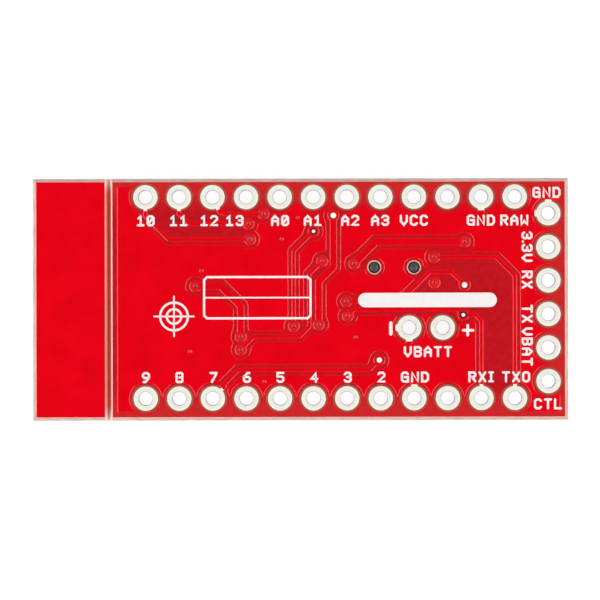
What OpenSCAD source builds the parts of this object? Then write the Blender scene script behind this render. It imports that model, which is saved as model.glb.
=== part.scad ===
// Receiver add-on board: red circuit board with plated pin rows and a snap-off tab,
// lying solder side up on the connector and the switch of its component side.
// Millimetres, +Z up, X along the pin rows. The lowest component touches Z = 0.

/* [Board] */
// Overall length, with the snap-off tab
board_l = 40.5; // [40:0.1:48]
// Overall width
board_w = 18.3; // [17.8:0.1:26]
// Thickness of the bare laminate
laminate_t = 1.5; // [1.4:0.1:2.4]
// Width of the bevel that a score line leaves along each outer edge
edge_bevel_w = 0.26; // [0.1:0.02:0.4]
// Depth of that bevel from each face
edge_bevel_d = 0.5; // [0.2:0.05:0.6]
// Thickness of the solder mask film on each face, over copper
mask_t = 0.05; // [0.04:0.01:0.06]

/* [Snap-off tab] */
// Length of the tab, from its outer edge to the middle of the score line
tab_l = 5.73; // [4:0.01:6]
// Width of the V score at the face
score_w = 0.58; // [0.3:0.02:0.8]
// Depth of the V score from each face
score_d = 0.5; // [0.2:0.05:0.6]
// Width of the flat at the bottom of the V score
score_land_w = 0.1; // [0.05:0.01:0.2]

/* [Pin holes] */
// Distance between neighbouring pins
pin_pitch = 2.54; // [2.4:0.01:2.56]
// Mean distance from a long edge to its pin row
row_edge = 1.53; // [1.4:0.01:1.7]
// Shift of both rows from the board's centre line
rows_shift_y = 0.135; // [-0.15:0.005:0.2]
// Least gap between the score line and the first ring of a row
row_start_gap = 0.5; // [0.1:0.1:1.2]
// Number of pins in the receiver column at the right end
column_pins = 6; // [4:1:6]
// Distance from the right edge to the receiver column
column_inset = 1.5; // [1.3:0.05:1.7]
// Finished diameter of a pin hole
pin_hole_d = 1.016; // [0.8:0.004:1.1]
// Diameter of the solder-coated ring around a pin hole
pad_d = 1.88; // [1.6:0.02:2]
// Height of that ring over the laminate
pad_t = 0.07; // [0.06:0.01:0.12]
// Wall of the plated barrel in a pin hole
barrel_wall = 0.04; // [0.03:0.005:0.08]
// Bevel at the edges of a ring
pad_edge = 0.025; // [0.01:0.005:0.04]
// Bare laminate left between a ring and the mask
pad_mask_gap = 0.1; // [0.05:0.01:0.15]
// Width of a trace that leaves a ring
stub_w = 0.28; // [0.15:0.01:0.4]
// Width of a thermal spoke that joins a ring to the ground area
spoke_w = 0.5; // [0.3:0.01:0.7]
// Height of those traces and spokes over the laminate
stub_t = 0.04; // [0.02:0.005:0.05]
// Place of the battery holes' middle, from the middle of the pin rows
battery_at = [7.24, -2.285];

/* [Vias and traces] */
// Finished diameter of a via
via_d = 0.42; // [0.25:0.01:0.5]
// Wall of a via's plated barrel
via_wall = 0.03; // [0.02:0.005:0.05]
// Diameter of the copper ring around a via
via_ring_d = 0.9; // [0.7:0.02:1]
// Width of a signal trace
trace_w = 0.26; // [0.2:0.01:0.3]
// Width of a supply trace
supply_w = 0.5; // [0.4:0.01:0.55]
// Bare strip between the ground area and what it runs around
pour_gap = 0.3; // [0.2:0.01:0.35]
// Distance from the film's edge to the ground area
pour_inset = 0.38; // [0.2:0.02:0.5]
// Height at which the film stands over copper, above the film on bare laminate
relief_t = 0.03; // [0.02:0.005:0.035]

/* [Slide switch] */
// Place of the switch, from the middle of the pin rows
switch_at = [4.84, 2.275];
// Travel of the knob
switch_travel = 2; // [1:0.1:2.2]
// Width of the switch body
switch_w = 3; // [2.8:0.1:3.4]
// Height of the moulded base
switch_base_h = 1.3; // [1.2:0.05:1.5]
// Thickness of the base's floor
switch_floor_t = 0.4; // [0.35:0.05:0.45]
// Wall of the base along its long sides
switch_side_wall = 0.4; // [0.3:0.05:0.5]
// Wall of the base at its ends
switch_end_wall = 0.7; // [0.4:0.05:0.9]
// Sheet thickness of the steel cover
cover_t = 0.15; // [0.1:0.01:0.25]
// Length of the carriage that slides in the base
carriage_l = 3.6; // [3:0.1:3.8]
// Length of the knob along its travel
knob_l = 1.3; // [0.8:0.1:1.6]
// Width of the knob
knob_w = 1.4; // [0.8:0.1:1.6]
// Height of the knob over the board's seat
knob_top_h = 2.95; // [2.4:0.05:3.4]
// Bevel on the knob's tip
knob_bevel = 0.2; // [0.05:0.05:0.3]
// Running clearance of the sliding parts
slide_play = 0.1; // [0.05:0.01:0.15]
// Distance between the two locating pegs
peg_spacing = 3; // [2.6:0.1:3.4]
// Diameter of a locating peg
peg_d = 0.8; // [0.6:0.02:0.84]
// Length of a locating peg below the base
peg_l = 1.4; // [0.8:0.05:1.5]
// Bevel at the tip of a locating peg
peg_bevel = 0.15; // [0.05:0.05:0.2]
// Diameter of the peg's hole in the laminate
peg_hole_d = 0.9; // [0.86:0.02:1]
// Diameter of the opening in the mask around that hole
peg_mask_d = 1.06; // [1.02:0.02:1.3]
// Distance between the terminals of one side
terminal_pitch = 2.5; // [2:0.1:2.6]
// Width of a terminal
terminal_w = 0.6; // [0.4:0.05:0.8]
// Sheet thickness of a terminal
terminal_t = 0.15; // [0.1:0.01:0.18]
// Reach of a terminal from the switch's middle line
terminal_reach = 3.25; // [2.8:0.05:3.4]
// Distance of the contact pair from the switch's middle line
contact_y = 0.7; // [0.5:0.05:0.75]
// Height of a fixed contact over the base's floor
contact_h = 0.06; // [0.03:0.01:0.08]
// Gap between a fixed contact and the spring that passes over it
contact_gap = 0.03; // [0.02:0.01:0.05]
// Length of a bridging contact spring
spring_l = 3; // [2.6:0.1:3]
// Width of a bridging contact spring
spring_w = 0.5; // [0.3:0.05:0.6]
// Sheet thickness of a bridging contact spring
spring_t = 0.1; // [0.05:0.01:0.12]

/* [Receiver socket] */
// Number of contacts
socket_pins = 6; // [2:1:6]
// Distance between the contacts
socket_pitch = 1; // [0.8:0.05:1.1]
// Distance from the score line's edge to the socket's mouth
socket_setback = 0.45; // [0.1:0.05:1]
// Distance from the lower pin row to the socket's middle
socket_row_gap = 6.3; // [6.2:0.05:7]
// Depth of the housing
socket_l = 4.25; // [4:0.05:5]
// Height of the housing
socket_h = 2.95; // [2.6:0.05:3.4]
// Wall of the housing at its sides, beyond the outer contacts
socket_side_w = 1.5; // [1.1:0.05:1.6]
// Wall of the housing beside the cavity
socket_wall = 0.6; // [0.4:0.05:0.7]
// Depth of the cavity behind the mouth
socket_cavity_l = 3.2; // [2.8:0.05:3.5]
// Thickness of a contact, and width of its blade
contact_w = 0.22; // [0.15:0.01:0.3]
// Height of a contact's blade
blade_h = 0.3; // [0.2:0.02:0.4]
// Length of the blade inside the cavity
blade_l = 2.2; // [1.5:0.05:2.6]
// Length of a contact's foot on the board
tail_l = 0.75; // [0.5:0.05:1]
// Length of a hold-down tab
hold_l = 1.4; // [1:0.05:1.8]
// Reach of a hold-down tab's foot from the housing
hold_reach = 0.9; // [0.6:0.05:1.1]
// Height of a hold-down tab
hold_h = 1.6; // [1:0.05:2]
// Sheet thickness of a hold-down tab
hold_t = 0.2; // [0.15:0.01:0.3]

/* [Regulator and transistors] */
// Place of the regulator, from the middle of the pin rows
regulator_at = [12.66, 2.9];
// Distance from the socket's back to the middle of the transistors
transistor_x = 2.8; // [2.6:0.05:3.2]
// Distances of the two transistors from the middle line of the pin rows
transistor_ys = [1.95, -1.85];
// Length of a moulded case
case_l = 2.9; // [2.7:0.05:3]
// Width of the regulator's case
regulator_w = 1.6; // [1.4:0.05:1.7]
// Width of a transistor's case
transistor_w = 1.3; // [1.2:0.05:1.4]
// Height of a moulded case over the board
case_h = 1.05; // [0.9:0.05:1.2]
// Gap between a moulded case and the board
case_gap = 0.08; // [0.04:0.01:0.12]
// Draft of a moulded case's long sides
case_draft = 0.1; // [0.04:0.01:0.15]
// Distance between two neighbouring leads
lead_pitch = 0.95; // [0.85:0.01:1]
// Width of a lead
lead_w = 0.4; // [0.3:0.02:0.5]
// Sheet thickness of a lead
lead_t = 0.13; // [0.1:0.01:0.18]
// Reach of a lead from the side of its case
lead_reach = 0.6; // [0.5:0.02:0.7]
// Length of a lead's foot on the board
lead_foot = 0.35; // [0.25:0.01:0.4]

/* [Chip parts] */
// Distance from the socket's back to the first column of resistors
resistor_x = 5.1; // [5:0.05:5.4]
// Distance between the two columns of resistors
resistor_pitch = 1.5; // [1.3:0.05:1.7]
// Distances of the resistors from the middle line of the pin rows
resistor_ys = [2.3, -1.5];
// Place of the first capacitor, from the middle of the pin rows
capacitor_at = [12.66, -0.7];
// Distance between the two capacitors
capacitor_pitch = 1.6; // [1.3:0.05:1.8]
// Length of a chip part
chip_l = 1.6; // [1.4:0.05:1.8]
// Width of a chip part
chip_w = 0.8; // [0.6:0.05:1]
// Height of a resistor
resistor_h = 0.45; // [0.35:0.05:0.6]
// Height of a capacitor
capacitor_h = 0.8; // [0.6:0.05:1]
// Length of a metal end cap
cap_end_l = 0.35; // [0.2:0.05:0.45]

/* [Lands and clearances] */
// Margin of a land around the metal that is soldered to it
land_margin = 0.12; // [0.05:0.01:0.15]
// Bare laminate left between a land and the mask
land_mask_gap = 0.05; // [0.03:0.01:0.06]
// Fitting clearance between parts that are assembled
fit_gap = 0.02; // [0.01:0.005:0.03]

/* [Hidden] */
$fn = 48;
eps = 0.01;
cut = 1;

switch_h = max(knob_top_h, switch_base_h + cover_t);
seat_z = max(socket_h, switch_h);
front_z = seat_z + mask_t;
back_z = front_z + laminate_t;

film_l = board_l - 2 * edge_bevel_w;
film_w = board_w - 2 * edge_bevel_w;
score_x = -board_l / 2 + tab_l;
tab_right = score_x - score_w / 2;
main_left = score_x + score_w / 2;

// The pin rows end one pitch before the receiver column and fill the room up to the score line.
column_x = board_l / 2 - column_inset;
row_last_x = column_x - pin_pitch;
row_room = row_last_x - main_left - row_start_gap - pad_d / 2;
row_pins = floor(row_room / pin_pitch) + 1;
row_first_x = row_last_x - (row_pins - 1) * pin_pitch;
row_spacing = board_w - 2 * row_edge;
// The circuit is drawn from the middle of rows of twelve pins that end at the last pin,
// at the pitch it was drawn for, and follows the pitch.
drawn_pins = 12;
drawn_pitch = 2.54;
grid = pin_pitch / drawn_pitch;
datum = [row_last_x - (drawn_pins - 1) * pin_pitch / 2, rows_shift_y];

// Places on the circuit: from its middle line, from the upper row and from the lower row.
function mid(x, y) = datum + [x, y] * grid;
function up(x, y) = mid(x, y) + [0, row_spacing / 2];
function low(x, y) = mid(x, y) - [0, row_spacing / 2];
// X of a pin of the rows as drawn, counted back from the last one.
function pin_x(from_last) = ((drawn_pins - 1) / 2 - from_last) * drawn_pitch;

upper_row = [for (i = [row_pins - 1:-1:0]) up(pin_x(i), 0)];
lower_row = [for (i = [row_pins - 1:-1:0]) low(pin_x(i), 0)];
column_top_y = datum.y + (column_pins - 1) * pin_pitch / 2;
receiver_column = [for (i = [0:column_pins - 1]) [column_x, column_top_y - i * pin_pitch]];
battery_pair = [for (s = [-1, 1]) datum + battery_at + [s * pin_pitch / 2, 0]];
all_pins = concat(upper_row, lower_row, receiver_column, battery_pair);

pin_drill_d = pin_hole_d + 2 * barrel_wall + 2 * fit_gap;
via_drill_d = via_d + 2 * via_wall + 2 * fit_gap;

// Vias, named for what they carry. The open ones let light through.
via_d10 = up(-6.06, -3.2);
via_d11 = up(-6.17, -2.02);
via_d12 = up(-5.03, -1.28);
via_feed = mid(-10.21, 0.88);
via_feed_end = mid(-6.77, -2.96);
via_a1 = up(-1.25, -2.6);
via_a1_end = mid(-2.76, -2.15);
via_enable = mid(-0.6, 2.76);
via_enable_end = mid(-6.77, -3.93);
via_supply = up(0.25, -1.4);
via_supply_end = mid(-0.86, -2.05);
via_raw = mid(1.83, 2.56);
via_raw_end = mid(10.18, 4.21);
via_receive = mid(1.21, -0.29);
via_receive_end = mid(10.18, 0.93);
via_send = mid(1.33, -1.39);
via_send_end = mid(10.07, -1.33);
via_d7 = low(3.71, 2.88);
via_tx = mid(7.89, 3.05);
via_lone = mid(7.89, 1.11);
open_vias = [via_a1, via_supply, via_d7, via_receive_end, via_send_end];
covered_vias = [
    via_d10, via_d11, via_d12, via_feed, via_feed_end, via_a1_end, via_enable, via_enable_end,
    via_supply_end, via_raw, via_raw_end, via_receive, via_send, via_tx, via_lone
];
ground_vias = [
    mid(-9.75, 2.02), mid(-10.63, -4.08), low(-5, 1.26), up(-2.43, -1.59), up(-3.65, -3.2), mid(1.92, -3.01)
];
signal_vias = concat(open_vias, covered_vias);
via_places = concat(signal_vias, ground_vias);

// Traces of the solder side: [width, corners].
pin_d10 = up(pin_x(11), 0);
pin_d11 = up(pin_x(10), 0);
pin_d7 = low(pin_x(9), 0);
pin_rx = low(pin_x(1), 0);
pin_tx = low(pin_x(0), 0);
traces = [
    [trace_w, [pin_d10, up(-13.97, -1.45), up(-12.22, -3.2), via_d10]],
    [trace_w, [pin_d11, up(-11.43, -1.22), up(-10.63, -2.02), via_d11]],
    [trace_w, [up(-9.26, -0.08), up(-8.06, -1.28), via_d12]],
    [supply_w, [via_feed, mid(-8.29, 0.88), mid(-6.77, -0.64), via_feed_end]],
    [trace_w, [via_a1, up(-2.76, -4.11), via_a1_end]],
    [
        trace_w,
        [
            via_enable, mid(-1.58, 1.78), mid(-1.58, -2.21), mid(-2.29, -2.92),
            mid(-5.76, -2.92), via_enable_end
        ]
    ],
    [supply_w, [via_supply, mid(0.25, 2.31), mid(-0.86, 1.2), via_supply_end]],
    [supply_w, [via_raw, mid(3.48, 4.21), via_raw_end]],
    [trace_w, [via_receive, mid(5.32, -0.29), mid(7.53, 1.92), mid(9.19, 1.92), via_receive_end]],
    [trace_w, [via_send, mid(1.81, -0.91), mid(9.65, -0.91), via_send_end]],
    [trace_w, [via_d7, low(2.99, 2.16), low(-6.95, 2.16), low(-8.9, 0.21)]],
    [trace_w, [via_tx, mid(12.53, 3.05), mid(13.97, 1.61), pin_tx]],
    [trace_w, [via_send_end, mid(10.97, -1.33), mid(11.43, -1.79), pin_rx]]
];
// Areas between traces where the ground area cannot reach.
bare_areas = [
    [
        pin_d10, up(-13.97, -1.45), up(-12.22, -3.2), via_d10,
        up(-5.6, -2.4), via_d12, up(-6.35, 0)
    ],
    [
        via_tx, mid(12.53, 3.05), mid(13.97, 1.61), pin_tx, pin_rx, mid(11.43, -1.79),
        mid(10.97, -1.33), via_send_end, mid(9.65, -0.91), mid(5.94, -0.91), mid(5.32, -0.29),
        mid(7.53, 1.92)
    ]
];

// Metal that leaves a ring on the solder side: [pin counted from the last, direction, width].
upper_stubs = [[11, -90, stub_w], [10, -90, stub_w], [9, -65, stub_w], [1, -90, spoke_w]];
lower_stubs = [[9, 45, stub_w], [3, 90, spoke_w], [1, 90, stub_w], [0, 90, stub_w]];
column_stubs = [[column_pins - 1, 90, spoke_w], [column_pins - 1, 180, spoke_w]];
battery_stubs = [[1, 180, spoke_w], [1, -90, spoke_w]];

switch_xy = datum + switch_at;
cavity_l = carriage_l + switch_travel + 2 * slide_play;
cavity_w = switch_w - 2 * switch_side_wall;
switch_l = cavity_l + 2 * switch_end_wall;
carriage_w = cavity_w - 2 * slide_play;
contact_top = switch_floor_t + contact_h;
spring_z = contact_top + contact_gap;
carriage_z = spring_z + spring_t;
carriage_top = switch_base_h - slide_play;
slot_l = knob_l + switch_travel + 2 * slide_play;
slot_w = knob_w + 2 * slide_play;
knob_rest_x = switch_travel / 2;
terminal_places = [for (i = [-1:1], s = [-1, 1]) [i * terminal_pitch, s]];
terminal_in = contact_y - terminal_t / 2;
peg_places = [for (s = [-1, 1]) switch_xy + [s * peg_spacing / 2, 0]];

socket_w = (socket_pins - 1) * socket_pitch + 2 * socket_side_w;
socket_xy = [main_left + socket_setback, lower_row[0].y + socket_row_gap];
socket_back_x = socket_xy.x + socket_l;
socket_cavity_w = socket_w - 2 * socket_wall;
socket_cavity_h = socket_h - 2 * socket_wall;
blade_z = socket_h / 2 - blade_h / 2;
socket_ys = [for (i = [0:socket_pins - 1]) (i - (socket_pins - 1) / 2) * socket_pitch];
hold_x = (socket_l - hold_l) / 2;

regulator_xy = datum + regulator_at;
transistor_xys = [for (y = transistor_ys) [socket_back_x + transistor_x, datum.y + y]];
regulator_leads = [[1, -1], [1, 0], [1, 1], [-1, -1], [-1, 1]];
transistor_leads = [[1, -1], [1, 1], [-1, 0]];
case_mid_z = case_gap + (case_h - case_gap) / 2;

resistor_xys = [
    for (i = [0, 1], y = resistor_ys)
        [socket_back_x + resistor_x + i * resistor_pitch, datum.y + y]
];
capacitor_xys = [for (i = [0, 1]) datum + capacitor_at - [0, i * capacitor_pitch]];

// Lands on the component side: [middle, size].
switch_lands = [
    for (t = terminal_places)
        let (y0 = switch_w / 2, y1 = terminal_reach)
        [
            switch_xy + [t.x, t.y * (y0 + y1) / 2],
            [terminal_w + 2 * land_margin, y1 - y0 + 2 * land_margin]
        ]
];
tail_lands = [
    for (y = socket_ys)
        [
            socket_xy + [socket_l + tail_l / 2, y],
            [tail_l + 2 * land_margin, contact_w + 2 * land_margin]
        ]
];
hold_lands = [
    for (s = [-1, 1])
        [
            socket_xy + [hold_x + hold_l / 2, s * (socket_w + hold_reach) / 2],
            [hold_l + 2 * land_margin, hold_reach + 2 * land_margin]
        ]
];
function lead_lands(at, w, leads, pitch) = [
    for (d = leads)
        [
            at + [d.x * (w / 2 + lead_reach - lead_foot / 2), d.y * pitch],
            [lead_foot + 2 * land_margin, lead_w + 2 * land_margin]
        ]
];
function chip_lands(at, turn) = [
    for (s = [-1, 1])
        let (
            reach = s * (chip_l - cap_end_l) / 2,
            long = cap_end_l + 2 * land_margin,
            wide = chip_w + 2 * land_margin
        )
        turn ? [at + [0, reach], [wide, long]] : [at + [reach, 0], [long, wide]]
];
lands = concat(
    switch_lands, tail_lands, hold_lands,
    lead_lands(regulator_xy, regulator_w, regulator_leads, lead_pitch),
    [for (p = transistor_xys) each lead_lands(p, transistor_w, transistor_leads, lead_pitch)],
    [for (p = resistor_xys) each chip_lands(p, true)],
    [for (p = capacitor_xys) each chip_lands(p, false)]
);

// A box given by its middle in X and Y and its lowest Z.
module block(size, at = [0, 0], z = 0) {
    translate([at.x - size.x / 2, at.y - size.y / 2, z])
        cube(size);
}

// Children stand on the component side, with their own Z away from the board.
module on_front(at = [0, 0]) {
    translate([at.x, at.y, seat_z])
        mirror([0, 0, 1])
            children();
}

// Round holes through everything at the given places.
module drill(places, d) {
    for (p = places)
        translate([p.x, p.y, front_z - cut])
            cylinder(d = d, h = laminate_t + 2 * cut);
}

function bevelled_profile(w) = [
    [-w / 2 + edge_bevel_w, 0],
    [w / 2 - edge_bevel_w, 0],
    [w / 2, edge_bevel_d],
    [w / 2, laminate_t - edge_bevel_d],
    [w / 2 - edge_bevel_w, laminate_t],
    [-w / 2 + edge_bevel_w, laminate_t],
    [-w / 2, laminate_t - edge_bevel_d],
    [-w / 2, edge_bevel_d]
];

// One V score across the board; its wide side is at Z = 0 and it points up.
module score() {
    slope = (score_w - score_land_w) / 2 / score_d;
    mouth = score_w / 2 + slope * cut;
    translate([score_x, 0, 0])
        rotate([90, 0, 0])
            linear_extrude(board_w + 2 * cut, center = true)
                polygon([
                    [-mouth, -cut], [mouth, -cut],
                    [score_land_w / 2, score_d], [-score_land_w / 2, score_d]
                ]);
}

module laminate() {
    color("tan")
        difference() {
            translate([0, 0, front_z])
                intersection() {
                    rotate([90, 0, 90])
                        linear_extrude(board_l + 2 * cut, center = true)
                            polygon(bevelled_profile(board_w));
                    rotate([90, 0, 0])
                        linear_extrude(board_w + 2 * cut, center = true)
                            polygon(bevelled_profile(board_l));
                }
            translate([0, 0, front_z])
                score();
            translate([0, 0, back_z])
                mirror([0, 0, 1])
                    score();
            drill(all_pins, pin_drill_d);
            drill(via_places, via_drill_d);
            drill(peg_places, peg_hole_d);
        }
}

// The two areas of the film, parted by the score line.
module film_outline() {
    left = -film_l / 2;
    translate([left, -film_w / 2])
        square([tab_right - left, film_w]);
    translate([main_left, -film_w / 2])
        square([film_l / 2 - main_left, film_w]);
}

// Film on one face, from its lower Z, open around the pins.
module mask_film(z, t) {
    difference() {
        translate([0, 0, z])
            linear_extrude(t)
                film_outline();
        film_openings();
    }
}

module film_openings() {
    drill(all_pins, pad_d + 2 * pad_mask_gap);
    drill(open_vias, via_d);
    drill(peg_places, peg_mask_d);
}

// Outline of a strip of even width along a path, with mitred corners.
function unit(v) = v / norm(v);
function side(a, b) = let (d = unit(b - a)) [-d.y, d.x];
function corner(path, i) =
    let (
        n = len(path),
        before = i > 0 ? side(path[i - 1], path[i]) : side(path[0], path[1]),
        after = i < n - 1 ? side(path[i], path[i + 1]) : before
    )
    (before + after) / (1 + before * after);
function strip(path, w) = concat(
    [for (i = [0:len(path) - 1]) path[i] + corner(path, i) * w / 2],
    [for (i = [len(path) - 1:-1:0]) path[i] - corner(path, i) * w / 2]
);

module discs(places, d) {
    for (p = places)
        translate(p)
            circle(d = d);
}

// Ground area of the solder side, before the traces are laid in its gaps.
module pour() {
    left = main_left + pour_inset;
    right = film_l / 2 - pour_inset;
    half_w = film_w / 2 - pour_inset;
    row_l = row_last_x - row_first_x;
    column_l = (column_pins - 1) * pin_pitch;
    difference() {
        translate([left, -half_w])
            square([right - left, 2 * half_w]);
        translate(upper_row[0])
            square([row_l, board_w]);
        translate(lower_row[0] - [0, board_w])
            square([row_l, board_w]);
        translate(receiver_column[column_pins - 1])
            square([board_w, column_l]);
        discs(all_pins, pad_d + 2 * pour_gap);
        discs(signal_vias, via_ring_d + 2 * pour_gap);
        discs(peg_places, peg_mask_d + 2 * pour_gap);
        for (t = traces)
            polygon(strip(t[1], t[0] + 2 * pour_gap));
        for (a = bare_areas)
            polygon(a);
    }
}

// Everything on the solder side that the film covers with copper below it.
module copper() {
    translate([-film_l / 2, -film_w / 2])
        square([tab_right + film_l / 2, film_w]);
    pour();
    discs(signal_vias, via_ring_d);
    for (t = traces)
        polygon(strip(t[1], t[0]));
    spokes(upper_row, upper_stubs);
    spokes(lower_row, lower_stubs);
    spokes(receiver_column, column_stubs);
    spokes(battery_pair, battery_stubs);
}

// Bridges from a ring to what it is joined to.
module spokes(places, stubs) {
    for (s = stubs)
        let (i = len(places) - 1 - s[0])
            if (i >= 0)
                translate(places[i])
                    rotate(s[1])
                        translate([pin_hole_d, -s[2] / 2])
                            square([pad_d / 2 + 2 * pour_gap - pin_hole_d, s[2]]);
}

module solder_mask_back() {
    color("red") {
        mask_film(back_z, mask_t - relief_t);
        difference() {
            translate([0, 0, back_z + mask_t - relief_t])
                linear_extrude(relief_t)
                    copper();
            film_openings();
        }
    }
}

module solder_mask_front() {
    gap = 2 * land_mask_gap;
    color("red")
        difference() {
            mask_film(seat_z, mask_t);
            for (l = lands)
                block([l[1].x + gap, l[1].y + gap, mask_t + 2 * eps], l[0], seat_z - eps);
        }
}

// One plated pin hole: a ring on each face joined by the barrel.
module plated_hole() {
    hole_r = pin_hole_d / 2;
    barrel_r = hole_r + barrel_wall;
    pad_r = pad_d / 2;
    low = -pad_t;
    high = laminate_t + pad_t;
    rotate_extrude()
        polygon([
            [hole_r, low + pad_edge], [hole_r + pad_edge, low],
            [pad_r - pad_edge, low], [pad_r, low + pad_edge],
            [pad_r, 0], [barrel_r, 0], [barrel_r, laminate_t], [pad_r, laminate_t],
            [pad_r, high - pad_edge], [pad_r - pad_edge, high],
            [hole_r + pad_edge, high], [hole_r, high - pad_edge]
        ]);
}

// A row of plated holes with the traces and spokes that leave their rings.
module plated_row(places, stubs) {
    pad_r = pad_d / 2;
    stub_out = pad_r + pad_mask_gap - fit_gap;
    stub_in = (pad_r + pin_hole_d / 2) / 2;
    for (p = places)
        translate([p.x, p.y, front_z])
            plated_hole();
    for (s = stubs)
        let (i = len(places) - 1 - s[0])
            if (i >= 0)
                translate([places[i].x, places[i].y, back_z])
                    rotate([0, 0, s[1]])
                        translate([stub_in, -s[2] / 2, 0])
                            cube([stub_out - stub_in, s[2], stub_t]);
}

module header_pads_upper() {
    color("gainsboro")
        plated_row(upper_row, upper_stubs);
}

module header_pads_lower() {
    color("gainsboro")
        plated_row(lower_row, lower_stubs);
}

module column_pads() {
    color("gainsboro")
        plated_row(receiver_column, column_stubs);
}

module battery_pads() {
    color("gainsboro")
        plated_row(battery_pair, battery_stubs);
}

module vias() {
    color("peru")
        for (p = via_places)
            translate([p.x, p.y, front_z])
                difference() {
                    cylinder(d = via_d + 2 * via_wall, h = laminate_t);
                    translate([0, 0, -cut])
                        cylinder(d = via_d, h = laminate_t + 2 * cut);
                }
}

module front_lands() {
    color("silver")
        for (l = lands)
            block([l[1].x, l[1].y, mask_t], l[0], seat_z);
}

// Terminal of the switch, or the slot for it where grow is more than zero.
module terminal(grow = 0) {
    w = terminal_w + 2 * grow;
    y0 = terminal_in - grow;
    translate([-w / 2, y0, 0])
        cube([w, terminal_reach - y0, terminal_t + grow]);
    translate([-w / 2, y0, 0])
        cube([w, terminal_t + 2 * grow, contact_top + grow]);
}

module switch_terminals() {
    color("silver")
        on_front(switch_xy)
            for (t = terminal_places)
                translate([t.x, 0, 0])
                    mirror([0, t.y < 0 ? 1 : 0, 0])
                        terminal();
}

module switch_base() {
    color("dimgray")
        on_front(switch_xy) {
            difference() {
                block([switch_l, switch_w, switch_base_h]);
                block([cavity_l, cavity_w, switch_base_h], z = switch_floor_t);
                for (t = terminal_places)
                    translate([t.x, 0, -eps])
                        mirror([0, t.y < 0 ? 1 : 0, 0])
                            terminal(fit_gap);
            }
            for (s = [-1, 1])
                translate([s * peg_spacing / 2, 0, -peg_l]) {
                    cylinder(d1 = peg_d - 2 * peg_bevel, d2 = peg_d, h = peg_bevel);
                    translate([0, 0, peg_bevel])
                        cylinder(d = peg_d, h = peg_l - peg_bevel + switch_floor_t / 2);
                }
        }
}

module switch_cover() {
    plate_l = switch_l + 2 * cover_t;
    flange_h = switch_base_h - switch_floor_t;
    color("lightgray")
        on_front(switch_xy)
            difference() {
                union() {
                    block([plate_l, switch_w, cover_t], z = switch_base_h);
                    for (s = [-1, 1])
                        block(
                            [cover_t, switch_w, flange_h + cover_t],
                            [s * (switch_l + cover_t) / 2, 0],
                            switch_floor_t
                        );
                }
                block([slot_l, slot_w, 2 * cut], z = switch_base_h - cut);
            }
}

module switch_knob() {
    half = knob_l / 2;
    color("black")
        on_front(switch_xy)
            translate([knob_rest_x, 0, 0]) {
                block([carriage_l, carriage_w, carriage_top - carriage_z], z = carriage_z);
                rotate([90, 0, 0])
                    linear_extrude(knob_w, center = true)
                        polygon([
                            [-half, carriage_z], [half, carriage_z],
                            [half, knob_top_h - knob_bevel], [half - knob_bevel, knob_top_h],
                            [knob_bevel - half, knob_top_h], [-half, knob_top_h - knob_bevel]
                        ]);
            }
}

module switch_springs() {
    color("goldenrod")
        on_front(switch_xy)
            for (s = [-1, 1])
                block([spring_l, spring_w, spring_t], [knob_rest_x, s * contact_y], spring_z);
}

// Side outline of one socket contact: blade, drop behind the housing, and foot.
module contact_outline(grow = 0) {
    x0 = socket_cavity_l - blade_l - grow;
    x1 = socket_l + contact_w;
    polygon([
        [x0, blade_z - grow], [socket_l, blade_z - grow], [socket_l, 0],
        [socket_l + tail_l, 0], [socket_l + tail_l, contact_w], [x1, contact_w],
        [x1, blade_z + blade_h + grow], [x0, blade_z + blade_h + grow]
    ]);
}

module socket_contacts() {
    color("gold")
        on_front(socket_xy)
            for (y = socket_ys)
                translate([0, y, 0])
                    rotate([90, 0, 0])
                        linear_extrude(contact_w, center = true)
                            contact_outline();
}

module socket_housing() {
    color("ivory")
        on_front(socket_xy)
            difference() {
                block([socket_l, socket_w, socket_h], [socket_l / 2, 0]);
                block(
                    [socket_cavity_l + cut, socket_cavity_w, socket_cavity_h],
                    [(socket_cavity_l - cut) / 2, 0],
                    socket_wall
                );
                for (y = socket_ys)
                    translate([0, y, 0])
                        rotate([90, 0, 0])
                            linear_extrude(contact_w + 2 * fit_gap, center = true)
                                contact_outline(fit_gap);
            }
}

module socket_hold_downs() {
    y0 = socket_w / 2;
    color("silver")
        on_front(socket_xy)
            for (s = [0, 1])
                mirror([0, s, 0])
                    translate([hold_x, 0, 0])
                        rotate([90, 0, 90])
                            linear_extrude(hold_l)
                                polygon([
                                    [y0, 0], [y0 + hold_reach, 0], [y0 + hold_reach, hold_t],
                                    [y0 + hold_t, hold_t], [y0 + hold_t, hold_h], [y0, hold_h]
                                ]);
}

// Moulded case whose long sides lean in from the band where the leads come out.
module moulded_case(w) {
    band = lead_t / 2;
    out = w / 2;
    in = w / 2 - case_draft;
    rotate([90, 0, 0])
        linear_extrude(case_l, center = true)
            polygon([
                [-in, case_gap], [in, case_gap],
                [out, case_mid_z - band], [out, case_mid_z + band],
                [in, case_h], [-in, case_h],
                [-out, case_mid_z + band], [-out, case_mid_z - band]
            ]);
}

// Gull-wing leads of a moulded case.
module gull_leads(w, leads, pitch) {
    top = case_mid_z + lead_t / 2;
    knee = lead_reach - lead_foot;
    for (d = leads)
        translate([0, d.y * pitch, 0])
            mirror([d.x < 0 ? 1 : 0, 0, 0])
                translate([w / 2, 0, 0])
                    rotate([90, 0, 0])
                        linear_extrude(lead_w, center = true)
                            polygon([
                                [0, top], [knee, top], [knee, lead_t], [lead_reach, lead_t],
                                [lead_reach, 0], [knee - lead_t, 0],
                                [knee - lead_t, top - lead_t], [0, top - lead_t]
                            ]);
}

module regulator_case() {
    color("darkslategray")
        on_front(regulator_xy)
            moulded_case(regulator_w);
}

module regulator_pins() {
    color("silver")
        on_front(regulator_xy)
            gull_leads(regulator_w, regulator_leads, lead_pitch);
}

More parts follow.
